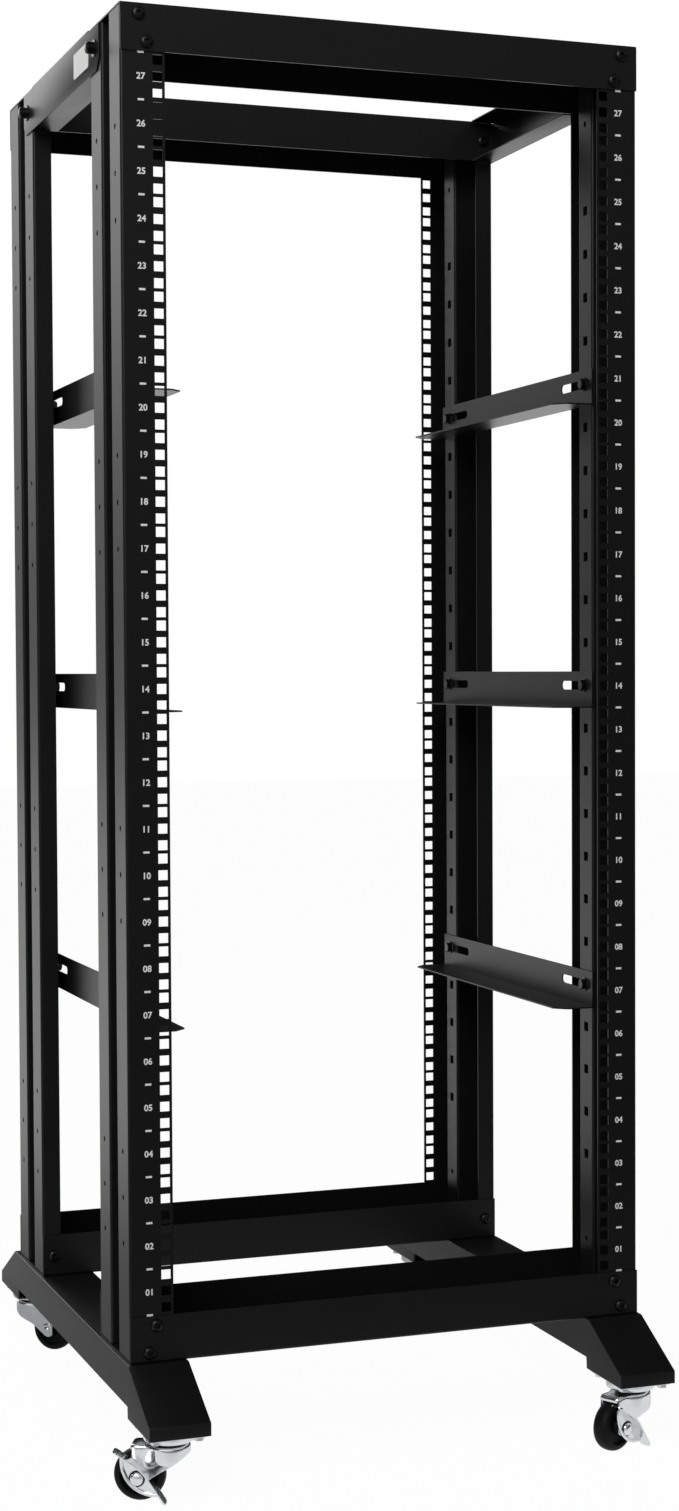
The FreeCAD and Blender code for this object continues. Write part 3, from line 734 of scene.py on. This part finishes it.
@dataclass
class Bolts:
    """Black bolts: button heads on crossbars, long heads on side bars and hexagons on rails.

    The crossbars' places are millimetres from the middle and below the crossbar's upper edge.
    """

    finishes: Finishes
    head_radius: float = 6.2 * MM
    head_height: float = 3.8 * MM
    key: float = 4.8 * MM
    top_places: tuple[Pair, ...] = ((251.5, 10.5), (243.5, 36.5))
    bottom_places: tuple[Pair, ...] = ((243.0, 9.0), (250.0, 35.0))
    inner_place: Pair = (257.0, 22.5)
    long_head: Profile = ((8.37, 0), (8.37, 1.2), (5.89, 1.3), (5.89, 7.5), (4.96, 8.6), (3.72, 9))
    nut_across: float = 10.0 * MM
    nut_height: float = 4.0 * MM
    washer: float = 7.0 * MM
    strip_middle: float = 20.75 * MM
    bar_sheet: float = 3.1 * MM
    rail_sheet: float = 1.5 * MM
    rail_bolt_height: float = 23 * MM
    head_turns: Pair = (-0.7, 1.3)
    nut_turns: Pair = (1.5, -0.5)

    def place(self, name: str, head: Shape, places: list[np.ndarray]) -> None:
        """Make one piece of the same head at several places."""
        make_piece(name, copies(head, places), "frame", self.finishes.screw)

    def crossbar(self, name: str, spots: tuple[Pair, ...]) -> None:
        """Bolt a crossbar to its posts: two heads at each end of its outer web and one inside.

        Args:
            name: the crossbar's node.
            spots: the places of its outer heads.
        """
        low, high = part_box(name)
        outward, outer, inner = (-1, low.y, high.y) if "front" in name else (1, high.y, low.y)
        places = [facing((0, outward, 0), (sign * across * MM, outer, high.z - down * MM))
                  for sign in SIDES.values() for across, down in spots]
        across, down = self.inner_place
        places += [facing((0, -outward, 0), (sign * across * MM, inner, high.z - down * MM))
                   for sign in SIDES.values()]
        head = button_head(self.head_radius, self.head_height, self.key)
        self.place("bolts_" + name, head, places)

    def side_bar(self, side: str) -> None:
        """A long bolt with a washer at each end of a top side bar, and its nut inside.

        Args:
            side: the bar's side.
        """
        low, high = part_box("side_bar_top_" + side)
        outward, face = SIDES[side], low.x if side == "left" else high.x
        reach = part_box("post_front_left")[1].y - self.strip_middle
        level = (low.z + high.z) / 2
        nut = hex_head(self.nut_across, self.nut_height, self.washer)
        for name, head, way, across in (
                ("bolts", turned(in_mm(self.long_head), steps=28), outward, face),
                ("nuts", nut, -outward, face - outward * self.bar_sheet)):
            places = [facing((way, 0, 0), (across, end * reach, level)) for end in (-1, 1)]
            self.place(name + "_side_bar_top_" + side, head, places)

    def rail(self, side: str, level: str) -> None:
        """Bolt a support rail: heads on the rail's web, nuts in the posts' grooves.

        Args:
            side: the rail's side.
            level: lower, middle or upper.
        """
        low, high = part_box("support_rail_" + side + "_" + level)
        post_low, post_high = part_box("post_front_" + side)
        outward, face = SIDES[side], low.x if side == "left" else high.x
        reach = (post_low.y + post_high.y) / 2
        height = low.z + self.rail_bolt_height
        places = []
        for way, turns in ((-outward, self.head_turns), (outward, self.nut_turns)):
            across = face + way * self.rail_sheet
            places += [facing((way, 0, 0), (across, end * reach, height), turn)
                       for end, turn in zip((-1, 1), turns)]
        self.place("bolts_support_rail_" + side + "_" + level,
                   hex_head(self.nut_across, self.nut_height, self.washer), places)

    def build(self) -> None:
        """Put in every bolt that shows."""
        for end in ("front", "rear"):
            self.crossbar("crossbar_top_" + end, self.top_places)
            self.crossbar("crossbar_bottom_" + end, self.bottom_places)
        for side in SIDES:
            self.side_bar(side)
            for level in ("lower", "middle", "upper"):
                self.rail(side, level)
        log.info("bolted bars and rails")


@dataclass
class BlankLabel:
    """A plain white label on the left top side bar, behind its front bolt."""

    finishes: Finishes
    length: float = 60.0 * MM
    height: float = 25.0 * MM
    corner: float = 3.0 * MM
    thickness: float = 0.2 * MM
    middle: float = -95.0 * MM

    def build(self) -> None:
        """A rounded rectangle pulled up by the film's thickness."""
        low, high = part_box("side_bar_top_left")
        outline = rounded(rectangle(self.height / 2, self.length / 2), self.corner, 96, closed=True)
        film = pulled(outline, [0, self.thickness], [1, 1])
        place = (Matrix.Translation((low.x, self.middle, (low.z + high.z) / 2))
                 @ Matrix.Rotation(math.radians(-90), 4, "Y"))
        make_piece("label_blank", copies(film, [np.array(place)]), "frame",
                   self.finishes.label, smooth=False)
        log.info("stuck on the blank label")


@dataclass
class Caster:
    """A swivel caster: fork, ball race, moulded wheel, domed axle and, in front, a brake lever.

    Its shapes are worked out with X from the swivel towards the wheel, Y along the axle and Z up
    from the floor. The race's profiles are lifted to the underside of its plate.
    """

    corner: str
    swivel: Pair
    heading: float
    race_low: float
    finishes: Finishes
    wheel_radius: float = 25 * MM
    wheel_half: float = 9 * MM
    tread_bulge: float = 6.5 * MM
    tread_power: float = 0.85
    wheel_side: Profile = ((18.2, 8.73), (17.2, 6.48), (16.6, 4.6), (9.6, 4.5), (8.6, 5.0),
                           (8.0, 9.6), (7.4, 10.5), (4.4, 10.5))
    trail: float = 28 * MM
    hood_radius: float = 21 * MM
    cheek_half: float = 13 * MM
    cheek_radius: float = 8 * MM
    plan_rounding: float = 6.5 * MM
    sheet: float = 2 * MM
    nose: float = 7.5 * MM
    race_gap: float = 9.5 * MM
    skirt: float = 5 * MM
    open_skirt: float = 6 * MM
    open_inset: float = 1.6 * MM
    fold: float = 3 * MM
    pinch: Pair = (27 * MM, 41 * MM)
    race_cup: Profile = ((16, -5.7), (22, -6.3), (23.5, -6.2), (24.3, -5.4), (24.5, -4.3),
                         (24.5, -1.1), (23.7, -0.3), (20.5, -0.3))
    # Painted shade: a black core that fills the gap between the race's cup and the fork's hood.
    race_gap_shade: Profile = ((15, -10), (16, -9.5), (16, -5.3), (13, -5.1))
    race_dish: Profile = ((19.5, 0), (23.3, 0), (24.2, 0.4), (24.5, 1.2), (24.5, 2.5))
    cap_radius: float = 6.4 * MM
    cap_height: float = 4 * MM
    cap_stand: float = 4.2 * MM
    rivet: Profile = ((7.36, 0), (7.36, 0.8), (6.4, 1.2), (3.9, 1.2), (3.6, 2.2), (2.6, 2.9),
                      (1.2, 3.1))
    rod_radius: float = 3 * MM
    lever_sheet: float = 1.6 * MM
    lever_inner: float = 13.3 * MM
    lever_width: float = 13 * MM
    lever_reach: float = 36 * MM
    lever_slopes: Pair = (32.0, 58.0)
    lever_rise: float = 8.5 * MM
    lever_droop: Pair = (3 * MM, -3.5 * MM)
    lever_bend: float = 5 * MM
    lever_corner: float = 4 * MM
    ear_span: Pair = (0.13, 0.87)
    ear_bow: float = 9 * MM
    ear_power: float = 0.8
    ear_stand: float = 2.4 * MM
    rim_height: float = 1.2 * MM
    rim_inset: float = 0.8 * MM
    rim_width: float = 1.3 * MM
    # Painted shade: a black ring that fills the gap between the lever's eye and the axle's dome.
    eye_gap_shade: Profile = ((7.9, -1), (7.9, 0.5), (6, 0.5))
    eye_stand: float = 3.9 * MM
    plate_half: Pair = (28 * MM, 36 * MM)
    plate_sheet: float = 2 * MM
    plate_corner: float = 3 * MM
    bolt_half: Pair = (21 * MM, 28 * MM)
    bolt_sizes: Place = (9 * MM, 3.4 * MM, 5.6 * MM)

    @property
    def braked(self) -> bool:
        """Whether the caster has a brake lever."""
        return "front" in self.corner

    @property
    def hood_top(self) -> float:
        """Height of the top of the fork's hood."""
        return self.race_low - self.race_gap

    def put(self, name: str, shape: Shape, body: str, material: Material,
            node: str = "") -> Object:
        """Make a piece of a shape given in the caster's own axes.

        Args:
            name: of the piece, without the corner.
            shape: its shape.
            body: the body that carries it, without the corner.
            material: its finish.
            node: the frame's node that it stands in for, if any, without the corner.

        Returns:
            The piece.
        """
        turn = Matrix.Rotation(math.radians(self.heading), 4, "Z")
        own_axes = np.array(Matrix.Translation((*self.swivel, 0)) @ turn)
        piece = make_piece(f"{name}_{self.corner}", copies(shape, [own_axes]),
                           f"{body}_{self.corner}", material)
        if node:
            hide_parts(f"{node}_{self.corner}")
        return piece

    def on_axle(self, shape: Shape, along: float, outward: int) -> Shape:
        """Stand a turned shape on the axle's line.

        Args:
            shape: with its axis on Z.
            along: where its foot goes on the axle's line.
            outward: 1 when it points to +Y and -1 when it points to -Y.

        Returns:
            The shape in the caster's axes.
        """
        return copies(shape, [facing((0, outward, 0), (self.trail, along, self.wheel_radius))])

    def wheel(self) -> None:
        """Turn the wheel: a tread with a superellipse's section, a thin web and a hub."""
        turn = np.linspace(math.pi, 0, 25)
        crown, side = np.sin(turn) ** self.tread_power, np.abs(np.cos(turn)) ** self.tread_power
        tread = np.stack([self.wheel_radius - self.tread_bulge + self.tread_bulge * crown,
                          self.wheel_half * np.sign(np.cos(turn)) * side], axis=-1)
        above = in_mm(self.wheel_side)
        section = np.concatenate([above[::-1] * (1, -1), tread, above])
        self.put("wheel_moulded", self.on_axle(turned(section, steps=72), 0, 1), "wheel",
                 self.finishes.nylon, "caster_wheel")

    def outline(self) -> np.ndarray:
        """The fork's plan: a round hood about the swivel, straight sides and a square end."""
        half, end = self.cheek_half, self.trail + self.cheek_radius
        start = math.asin(half / self.hood_radius)
        hood = circle(self.hood_radius, np.linspace(start, 2 * math.pi - start, 60))
        corners = np.concatenate([[(end, 0), (end, half)], hood, [(end, -half)]])
        return rounded(corners, self.plan_rounding, 240, closed=True)

    def lower_edge(self, across: np.ndarray) -> np.ndarray:
        """Height of the cheeks' lower edge: a line from the hood's nose into an arc round the axle.

        Args:
            across: distances from the swivel towards the axle.

        Returns:
            The edge's height above the floor at each.
        """
        start = np.array([-self.hood_radius, self.hood_top - self.nose])
        axle = np.array([self.trail, self.wheel_radius])
        away = axle - start
        slope = math.atan2(away[1], away[0]) - math.asin(self.cheek_radius / np.linalg.norm(away))
        touch = axle[0] + self.cheek_radius * math.sin(slope)
        line = start[1] + math.tan(slope) * (across - start[0])
        arc = axle[1] - np.sqrt(np.maximum(self.cheek_radius ** 2 - (across - axle[0]) ** 2, 0))
        return np.where(across < touch, line, arc)

    def fork(self) -> None:
        """Press the fork from one sheet: a cap, a rounded fold, then walls down to the lower edge.

        A wall's point at height z stands on the plan's outline near the cap. Lower down the hood's
        bulge is eased in until the walls are as far apart as the cheeks. The end past the axle is
        open under a short skirt.
        """
        plan = self.outline()
        ahead = np.roll(plan, -1, axis=0) - np.roll(plan, 1, axis=0)
        outward = ahead[:, ::-1] * (1, -1) / np.linalg.norm(ahead, axis=1)[:, None]
        turn = np.linspace(0, math.pi / 2, 5)
        insets, drops = self.fold * (1 - np.sin(turn)), self.fold * (1 - np.cos(turn))
        rim = plan[None] - insets[:, None, None] * outward[None]
        inner_rings = rim[:1] * np.array([0.25, 0.7])[:, None, None]
        rows = np.concatenate([inner_rings, rim])
        levels = self.hood_top - np.concatenate([[0, 0], drops])
        tall = np.broadcast_to(levels[:, None, None], (*rows.shape[:2], 1))
        cap = np.concatenate([rows, tall], axis=-1)
        between = np.abs(plan[:, 1]) < self.cheek_half - self.open_inset
        open_end = between & (plan[:, 0] > self.trail)
        low = np.where(open_end, self.hood_top - self.open_skirt, self.lower_edge(plan[:, 0]))
        begin = self.hood_top - self.skirt
        heights = begin + (low - begin)[None] * np.linspace(0, 1, 15)[:, None]
        bulge = eased((heights - self.pinch[0]) / (self.pinch[1] - self.pinch[0]))
        half = np.minimum(np.abs(plan[:, 1]), self.cheek_half)
        wide = half + (np.abs(plan[:, 1]) - half) * bulge
        walls = np.stack([np.broadcast_to(plan[:, 0], heights.shape), np.sign(plan[:, 1]) * wide,
                          heights], axis=-1)
        points = np.concatenate([cap, walls])
        faces = grid_faces(len(points), len(plan)).reshape(len(points) - 1, len(plan), 4)
        keep = np.ones(faces.shape[:2], bool)
        keep[len(cap):, open_end | np.roll(open_end, -1)] = False
        shape = compact(points, faces[keep][:, ::-1])
        shape[1].append(list(range(len(plan))))
        piece = self.put("fork_pressed", shape, "caster", self.finishes.zinc,
                         "caster_fork")
        thicken(piece, self.sheet)

    def race(self) -> None:
        """The ball race: a bright cup with a rolled lower rim, and under it a black core of painted
        shade in the gap down to the hood.
        """
        cup = turned(in_mm(self.race_cup, self.race_low), steps=64)
        self.put("race_cup", cup, "caster", self.finishes.zinc)
        # A black core of painted shade in the gap between the cup and the hood.
        core = turned(in_mm(self.race_gap_shade, self.race_low), steps=48)
        self.put("race_gap_shade", core, "caster", self.finishes.screw)

    def axle(self) -> None:
        """Turn the axle: a rod with riveted ends, and a dome in place of one over a brake lever."""
        outer = self.lever_inner + self.cap_stand if self.braked else self.cheek_half
        turn = np.linspace(0, math.pi / 2, 8)
        dome = np.stack([self.cap_radius * (0.98 * np.cos(turn) + 0.02),
                         self.cap_height * (0.3 + 0.7 * np.sin(turn))], axis=-1)
        nut = turned(np.concatenate([[(self.cap_radius, 0)], dome]), steps=32)
        rivet = turned(in_mm(self.rivet), steps=32)
        rod = turned([(self.rod_radius, -self.cheek_half), (self.rod_radius, outer)], steps=24)
        shape = joined([self.on_axle(nut if self.braked else rivet, outer, 1),
                        self.on_axle(rivet, -self.cheek_half, -1), self.on_axle(rod, 0, 1)])
        self.put("axle_domed", shape, "caster", self.finishes.zinc, "caster_axle")

    def lever(self) -> None:
        """Press the brake lever: a bent tread strip with a lens-shaped ear, and a black ring of
        painted shade in its eye.

        The tread is the line low end, bend, high end, rounded and carried along Y, with its corners
        rounded off. The black ring is painted shade, filling the gap between the ear's eye and the
        axle's dome.
        """
        low, high = (math.radians(angle) for angle in self.lever_slopes)
        ends = self.lever_reach * np.array([(-math.cos(low), -math.sin(low)),
                                            (math.cos(high), math.sin(high))]) + self.lever_droop
        bend = self.lever_rise * np.array([-math.sin((low + high) / 2), 1])
        path = rounded(np.array([ends[0], bend, ends[1]]), self.lever_bend, 161, closed=False)
        length = np.linalg.norm(np.diff(path, axis=0), axis=1).sum()
        across = np.linspace(-1, 1, 17)[:, None]
        past = (np.abs(across) - 1) * self.lever_width / 2 / self.lever_corner + 1
        short = self.lever_corner * (1 - np.sqrt(1 - np.clip(past, 0, 1) ** 2)) / length
        share = short + (1 - 2 * short) * np.linspace(0, 1, 49)[None]
        level = self.lever_inner + self.lever_width * (across + 1) / 2
        tread = self.about_axle(spots_along(path, share), np.broadcast_to(level, share.shape))
        shapes = []
        for grid in (tread, self.ear(path)):
            rows, columns = grid.shape[:2]
            quads = grid_faces(rows, columns).reshape(rows - 1, columns, 4)[:, :-1].reshape(-1, 4)
            shapes.append((grid.reshape(-1, 3), quads[:, ::-1].tolist()))
        piece = self.put("lever_pressed", joined(shapes), "brake", self.finishes.zinc,
                         "brake_lever")
        thicken(piece, self.lever_sheet)
        # A black ring of painted shade in the gap round the axle's dome.
        ring = turned(in_mm(self.eye_gap_shade), steps=40)
        self.put("eye_gap_shade", self.on_axle(ring, self.lever_inner + self.eye_stand, 1), "brake",
                 self.finishes.screw)

    def about_axle(self, flat: np.ndarray, level: np.ndarray) -> np.ndarray:
        """Place points (x, z) about the axle's line, at their levels along it."""
        return np.stack([flat[..., 0] + self.trail, level, flat[..., 1] + self.wheel_radius],
                        axis=-1)

    def ear(self, path: np.ndarray) -> np.ndarray:
        """The lever's ear: a lens between the tread and a bowed line, with a rim near that line.

        The bow is b (4 s (1 - s)) to a power at share s of the chord, and the rim stands up by
        exp(-d squared), d being the distance from its middle in rim widths.

        Args:
            path: the tread's line.

        Returns:
            The grid of points, from the tread to the bowed line.
        """
        first, last = self.ear_span
        share = np.linspace(0.015, 0.985, 65)
        near = spots_along(path, first + (last - first) * share)
        tips = spots_along(path, self.ear_span)
        chord = tips[1] - tips[0]
        normal = np.array([chord[1], -chord[0]]) / np.linalg.norm(chord)
        bow = (self.ear_bow - tips[0] @ normal) * (4 * share * (1 - share)) ** self.ear_power
        far = tips[0] + chord * share[:, None] + normal * bow[:, None]
        down = np.linspace(0, 1, 29)[:, None]
        flat = near[None] + (far - near)[None] * down[..., None]
        room = np.linalg.norm(far - near, axis=1)[None] * (1 - down)
        rim = np.exp(-((room - self.rim_inset) / self.rim_width) ** 2)
        return self.about_axle(flat, self.lever_inner + self.ear_stand + self.rim_height * rim)

    def plate(self) -> None:
        """A plate with rounded corners under the foot, its ball race's dish, and four bolts."""
        x, y = self.swivel
        low = self.race_low + self.race_dish[-1][1] * MM
        outline = rounded(rectangle(*self.plate_half), self.plate_corner, 120, closed=True)
        levels = low + self.plate_sheet * np.array([0, 0.15, 0.85, 1])
        sheet = pulled(outline, levels, [0.99, 1, 1, 0.99])
        dish = turned(in_mm(self.race_dish, self.race_low), steps=64)
        shape = copies(joined([sheet, dish]), [np.array(Matrix.Translation((x, y, 0)))])
        piece = make_piece("plate_with_race_" + self.corner, shape, "frame",
                           self.finishes.zinc)
        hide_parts("caster_plate_" + self.corner)
        across, along = self.bolt_half
        places = [facing((0, 0, -1), (x + side * across, y + end * along, low), side + 2 * end)
                  for side in (-1, 1) for end in (-1, 1)]
        make_piece("plate_bolts_" + self.corner, copies(hex_head(*self.bolt_sizes), places),
                   "frame", self.finishes.zinc)

    def build(self) -> None:
        """Build the whole caster."""
        self.wheel()
        self.fork()
        self.race()
        self.axle()
        self.plate()
        if self.braked:
            self.lever()
        log.info("built the %s caster", self.corner.replace("_", " "))


def casters(joints: list[dict], finishes: Finishes) -> list[Caster]:
    """Find each caster's place and heading, which is from its swivel joint to its axle.

    Args:
        joints: the frame's joints.
        finishes: the rack's finishes.

    Returns:
        The four casters.
    """
    places = {joint["name"]: joint["pos_m"] for joint in joints}
    found = []
    for corner in ("front_left", "front_right", "rear_left", "rear_right"):
        swivel, axle = places["swivel_" + corner], places["roll_" + corner]
        heading = math.degrees(math.atan2(axle[1] - swivel[1], axle[0] - swivel[0]))
        race_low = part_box("caster_plate_" + corner)[0].z
        found.append(Caster(corner, (swivel[0], swivel[1]), heading, race_low, finishes))
    return found


# ---- The studio ----


def ray_kinds(tree: NodeTree) -> tuple[NodeSocket, NodeSocket]:
    """Tell a tree what kind of ray it answers.

    Args:
        tree: the node tree.

    Returns:
        Whether the ray comes from the camera, also through glass, and whether it is a reflection.
    """
    path = add_node(tree, "ShaderNodeLightPath")
    seen = add_node(tree, "ShaderNodeMath", {"operation": "MAXIMUM"},
                    {0: path.outputs["Is Camera Ray"], 1: path.outputs["Is Transmission Ray"]})
    return seen.outputs[0], path.outputs["Is Glossy Ray"]


def light_level(tree: NodeTree,
                groups: list[list[tuple[NodeSocket, Step]]]) -> NodeSocket:
    """A level of light: the sum, over groups, of the product of each group's smooth steps.

    Args:
        tree: the node tree.
        groups: lists of steps, each with the socket that it reads.

    Returns:
        The socket that carries the level.
    """
    def fold(operation: str, values: list) -> NodeSocket:
        """Take values down to one, with an operation between each and the next."""
        return reduce(lambda total, value: add_node(
            tree, "ShaderNodeMath", {"operation": operation}, {0: total, 1: value}).outputs[0],
            values)

    products = []
    for group in groups:
        steps = [add_node(tree, "ShaderNodeMapRange",
                          {"interpolation_type": "SMOOTHSTEP", "From Min": start, "From Max": end,
                           "To Min": before, "To Max": after}, {"Value": source}).outputs[0]
                 for source, (start, end, before, after) in group]
        products.append(fold("MULTIPLY", steps))
    return fold("ADD", products)


@dataclass
class Studio:
    """The floor, the light and the camera, with angles in degrees and lamps in watts.

    The floor's steps read how far back a place is, and the room's read a reflection's direction.
    """

    heading: float = 19.783
    tilt: float = 1.998
    roll: float = -0.274
    camera_place: Pair = (-871.1 * MM, -2514.1 * MM)
    camera_below_top: float = 628.1 * MM
    lens: float = 58.92
    sensor: float = 36.0
    floor_reach: float = 14.0
    floor_colour: str = "#e4e4e4"
    floor_roughness: float = 0.9
    floor_white: float = 0.95
    floor_seen: float = 1.02
    floor_front: Step = (-0.6, -0.42, 0.1, 1.0)
    floor_under: Step = (-0.3, 0.1, 0.9, 0.4)
    floor_behind: Step = (0.5, 1.8, 0.0, 1.1)
    room_plain: float = 0.22
    room_behind: Step = (-0.3, 0.6, 0.0, 1.0)
    room_left: Step = (-0.47, -0.28, 0.0, 1.0)
    room_right: Step = (-0.1, 0.1, 1.0, 0.01)
    room_low: Step = (0.0, 0.3, 0.4, 2.9)
    room_high: Step = (0.45, 0.9, 1.0, 0.25)
    lit_corner: Place = (-0.6, -0.8, 0.0)
    corner_glow: Step = (0.6, 0.95, 0.02, 0.8)
    band_front: Step = (-0.5, 0.0, 1.0, 0.0)
    band_lower: Step = (0.34, 0.4, 0.0, 1.5)
    band_upper: Step = (0.44, 0.5, 1.0, 0.0)
    key_place: Place = (-1.9, -2.3, 3.0)
    key_aim: Place = (0.0, 0.0, 1.1)
    key_size: float = 2.0
    key_power: float = 74.0

    def floor(self) -> None:
        """A plain pale floor that the camera sees white but for a soft shadow."""
        mesh = bpy.data.meshes.new("floor")
        corners = rectangle(self.floor_reach, self.floor_reach)
        mesh.from_pydata([(x, y, 0) for x, y in corners.tolist()], [], [(0, 1, 2, 3)])
        floor = bpy.data.objects.new("floor", mesh)
        bpy.context.scene.collection.objects.link(floor)
        pale = Surface("studio_floor_pale", {"Base Color": linear(self.floor_colour),
                                             "Roughness": self.floor_roughness})
        tree = pale.tree
        seen, glossy = ray_kinds(tree)
        white = add_node(tree, "ShaderNodeMath", {"operation": "MULTIPLY", 1: self.floor_white},
                         {0: seen})
        share = add_node(tree, "ShaderNodeMath", {"operation": "MAXIMUM"},
                         {0: white.outputs[0], 1: glossy})
        back = add_node(tree, "ShaderNodeSeparateXYZ", links={0: pale.where}).outputs["Y"]
        shine = light_level(tree, [[(back, self.floor_front), (back, self.floor_under)],
                                   [(back, self.floor_behind)]])
        level = add_node(tree, "ShaderNodeMix", {"data_type": "FLOAT", "B": self.floor_seen},
                         {"Factor": seen, "A": shine})
        glow = add_node(tree, "ShaderNodeEmission", {"Color": (1, 1, 1, 1)},
                        {"Strength": level.outputs[0]})
        mix = add_node(tree, "ShaderNodeMixShader",
                       links={0: share.outputs[0], 1: pale.shader.outputs[0], 2: glow.outputs[0]})
        tree.links.new(mix.outputs[0], pale.output.inputs["Surface"])
        mesh.materials.append(pale.material)

    def room(self) -> None:
        """A white room to the camera and a plain dim light on the rack.

        A reflection finds it bright behind and at its front left corner, with a band of light above
        eye level in front, and dim elsewhere. So the front faces stay black while grazed sides
        catch the light.
        """
        world = bpy.data.worlds.new("studio")
        bpy.context.scene.world = world
        world.use_nodes = True
        tree = world.node_tree
        tree.nodes.clear()
        seen, glossy = ray_kinds(tree)
        where = add_node(tree, "ShaderNodeTexCoord").outputs["Generated"]
        side, ahead, height = add_node(tree, "ShaderNodeSeparateXYZ", links={0: where}).outputs
        corner = add_node(tree, "ShaderNodeVectorMath",
                          {"operation": "DOT_PRODUCT", 1: self.lit_corner},
                          {0: where}).outputs["Value"]
        level = light_level(tree, [
            [(ahead, self.room_behind), (side, self.room_left), (side, self.room_right),
             (height, self.room_low), (height, self.room_high)],
            [(corner, self.corner_glow)],
            [(ahead, self.band_front), (height, self.band_lower), (height, self.band_upper)]])
        soft = add_node(tree, "ShaderNodeBackground", {"Color": (1, 1, 1, 1)}, {"Strength": level})
        plain, white = (add_node(tree, "ShaderNodeBackground",
                                 {"Color": (1, 1, 1, 1), "Strength": strength})
                        for strength in (self.room_plain, 1.0))
        shiny = add_node(tree, "ShaderNodeMixShader",
                         links={0: glossy, 1: plain.outputs[0], 2: soft.outputs[0]})
        final = add_node(tree, "ShaderNodeMixShader",
                         links={0: seen, 1: shiny.outputs[0], 2: white.outputs[0]})
        add_node(tree, "ShaderNodeOutputWorld", links={"Surface": final.outputs[0]})

    def key_lamp(self) -> None:
        """Hang a square soft lamp at the front left, which lights without being seen itself."""
        light = bpy.data.lights.new("key", "AREA")
        light.shape = "RECTANGLE"
        light.size = light.size_y = self.key_size
        light.energy = self.key_power
        lamp = bpy.data.objects.new("key", light)
        bpy.context.scene.collection.objects.link(lamp)
        lamp.location = self.key_place
        aim = Vector(self.key_aim) - Vector(self.key_place)
        lamp.rotation_euler = aim.to_track_quat("-Z", "Y").to_euler()
        lamp.visible_camera = False

    def camera(self) -> None:
        """Stand the camera at the front left, level with the middle of the rack."""
        view = bpy.data.cameras.new("camera")
        view.sensor_width = self.sensor
        view.lens = self.lens
        camera = bpy.data.objects.new("camera", view)
        bpy.context.scene.collection.objects.link(camera)
        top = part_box("crossbar_top_front")[1].z
        camera.location = (*self.camera_place, top - self.camera_below_top)
        aim = (Matrix.Rotation(math.radians(-self.heading), 4, "Z")
               @ Matrix.Rotation(math.radians(90 - self.tilt), 4, "X")
               @ Matrix.Rotation(math.radians(self.roll), 4, "Z"))
        camera.rotation_euler = aim.to_euler()
        bpy.context.scene.camera = camera

    def build(self) -> None:
        """Set up the whole studio."""
        bpy.context.scene.view_settings.view_transform = "Standard"
        self.floor()
        self.room()
        self.key_lamp()
        self.camera()
        log.info("studio ready")


def main() -> None:
    """Build the rack's looks and its studio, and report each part."""
    logging.basicConfig(level=logging.INFO, format="%(name)s: %(message)s")
    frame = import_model()
    finishes = Finishes()
    SheetMetal(frame["nodes"], finishes).dress()
    FoldedSheet(frame["nodes"], finishes).build()
    Bolts(finishes).build()
    UnitPrint(finishes).build()
    BlankLabel(finishes).build()
    for caster in casters(frame["joints"], finishes):
        caster.build()
    Studio().build()


if __name__ == "__main__":
    main()
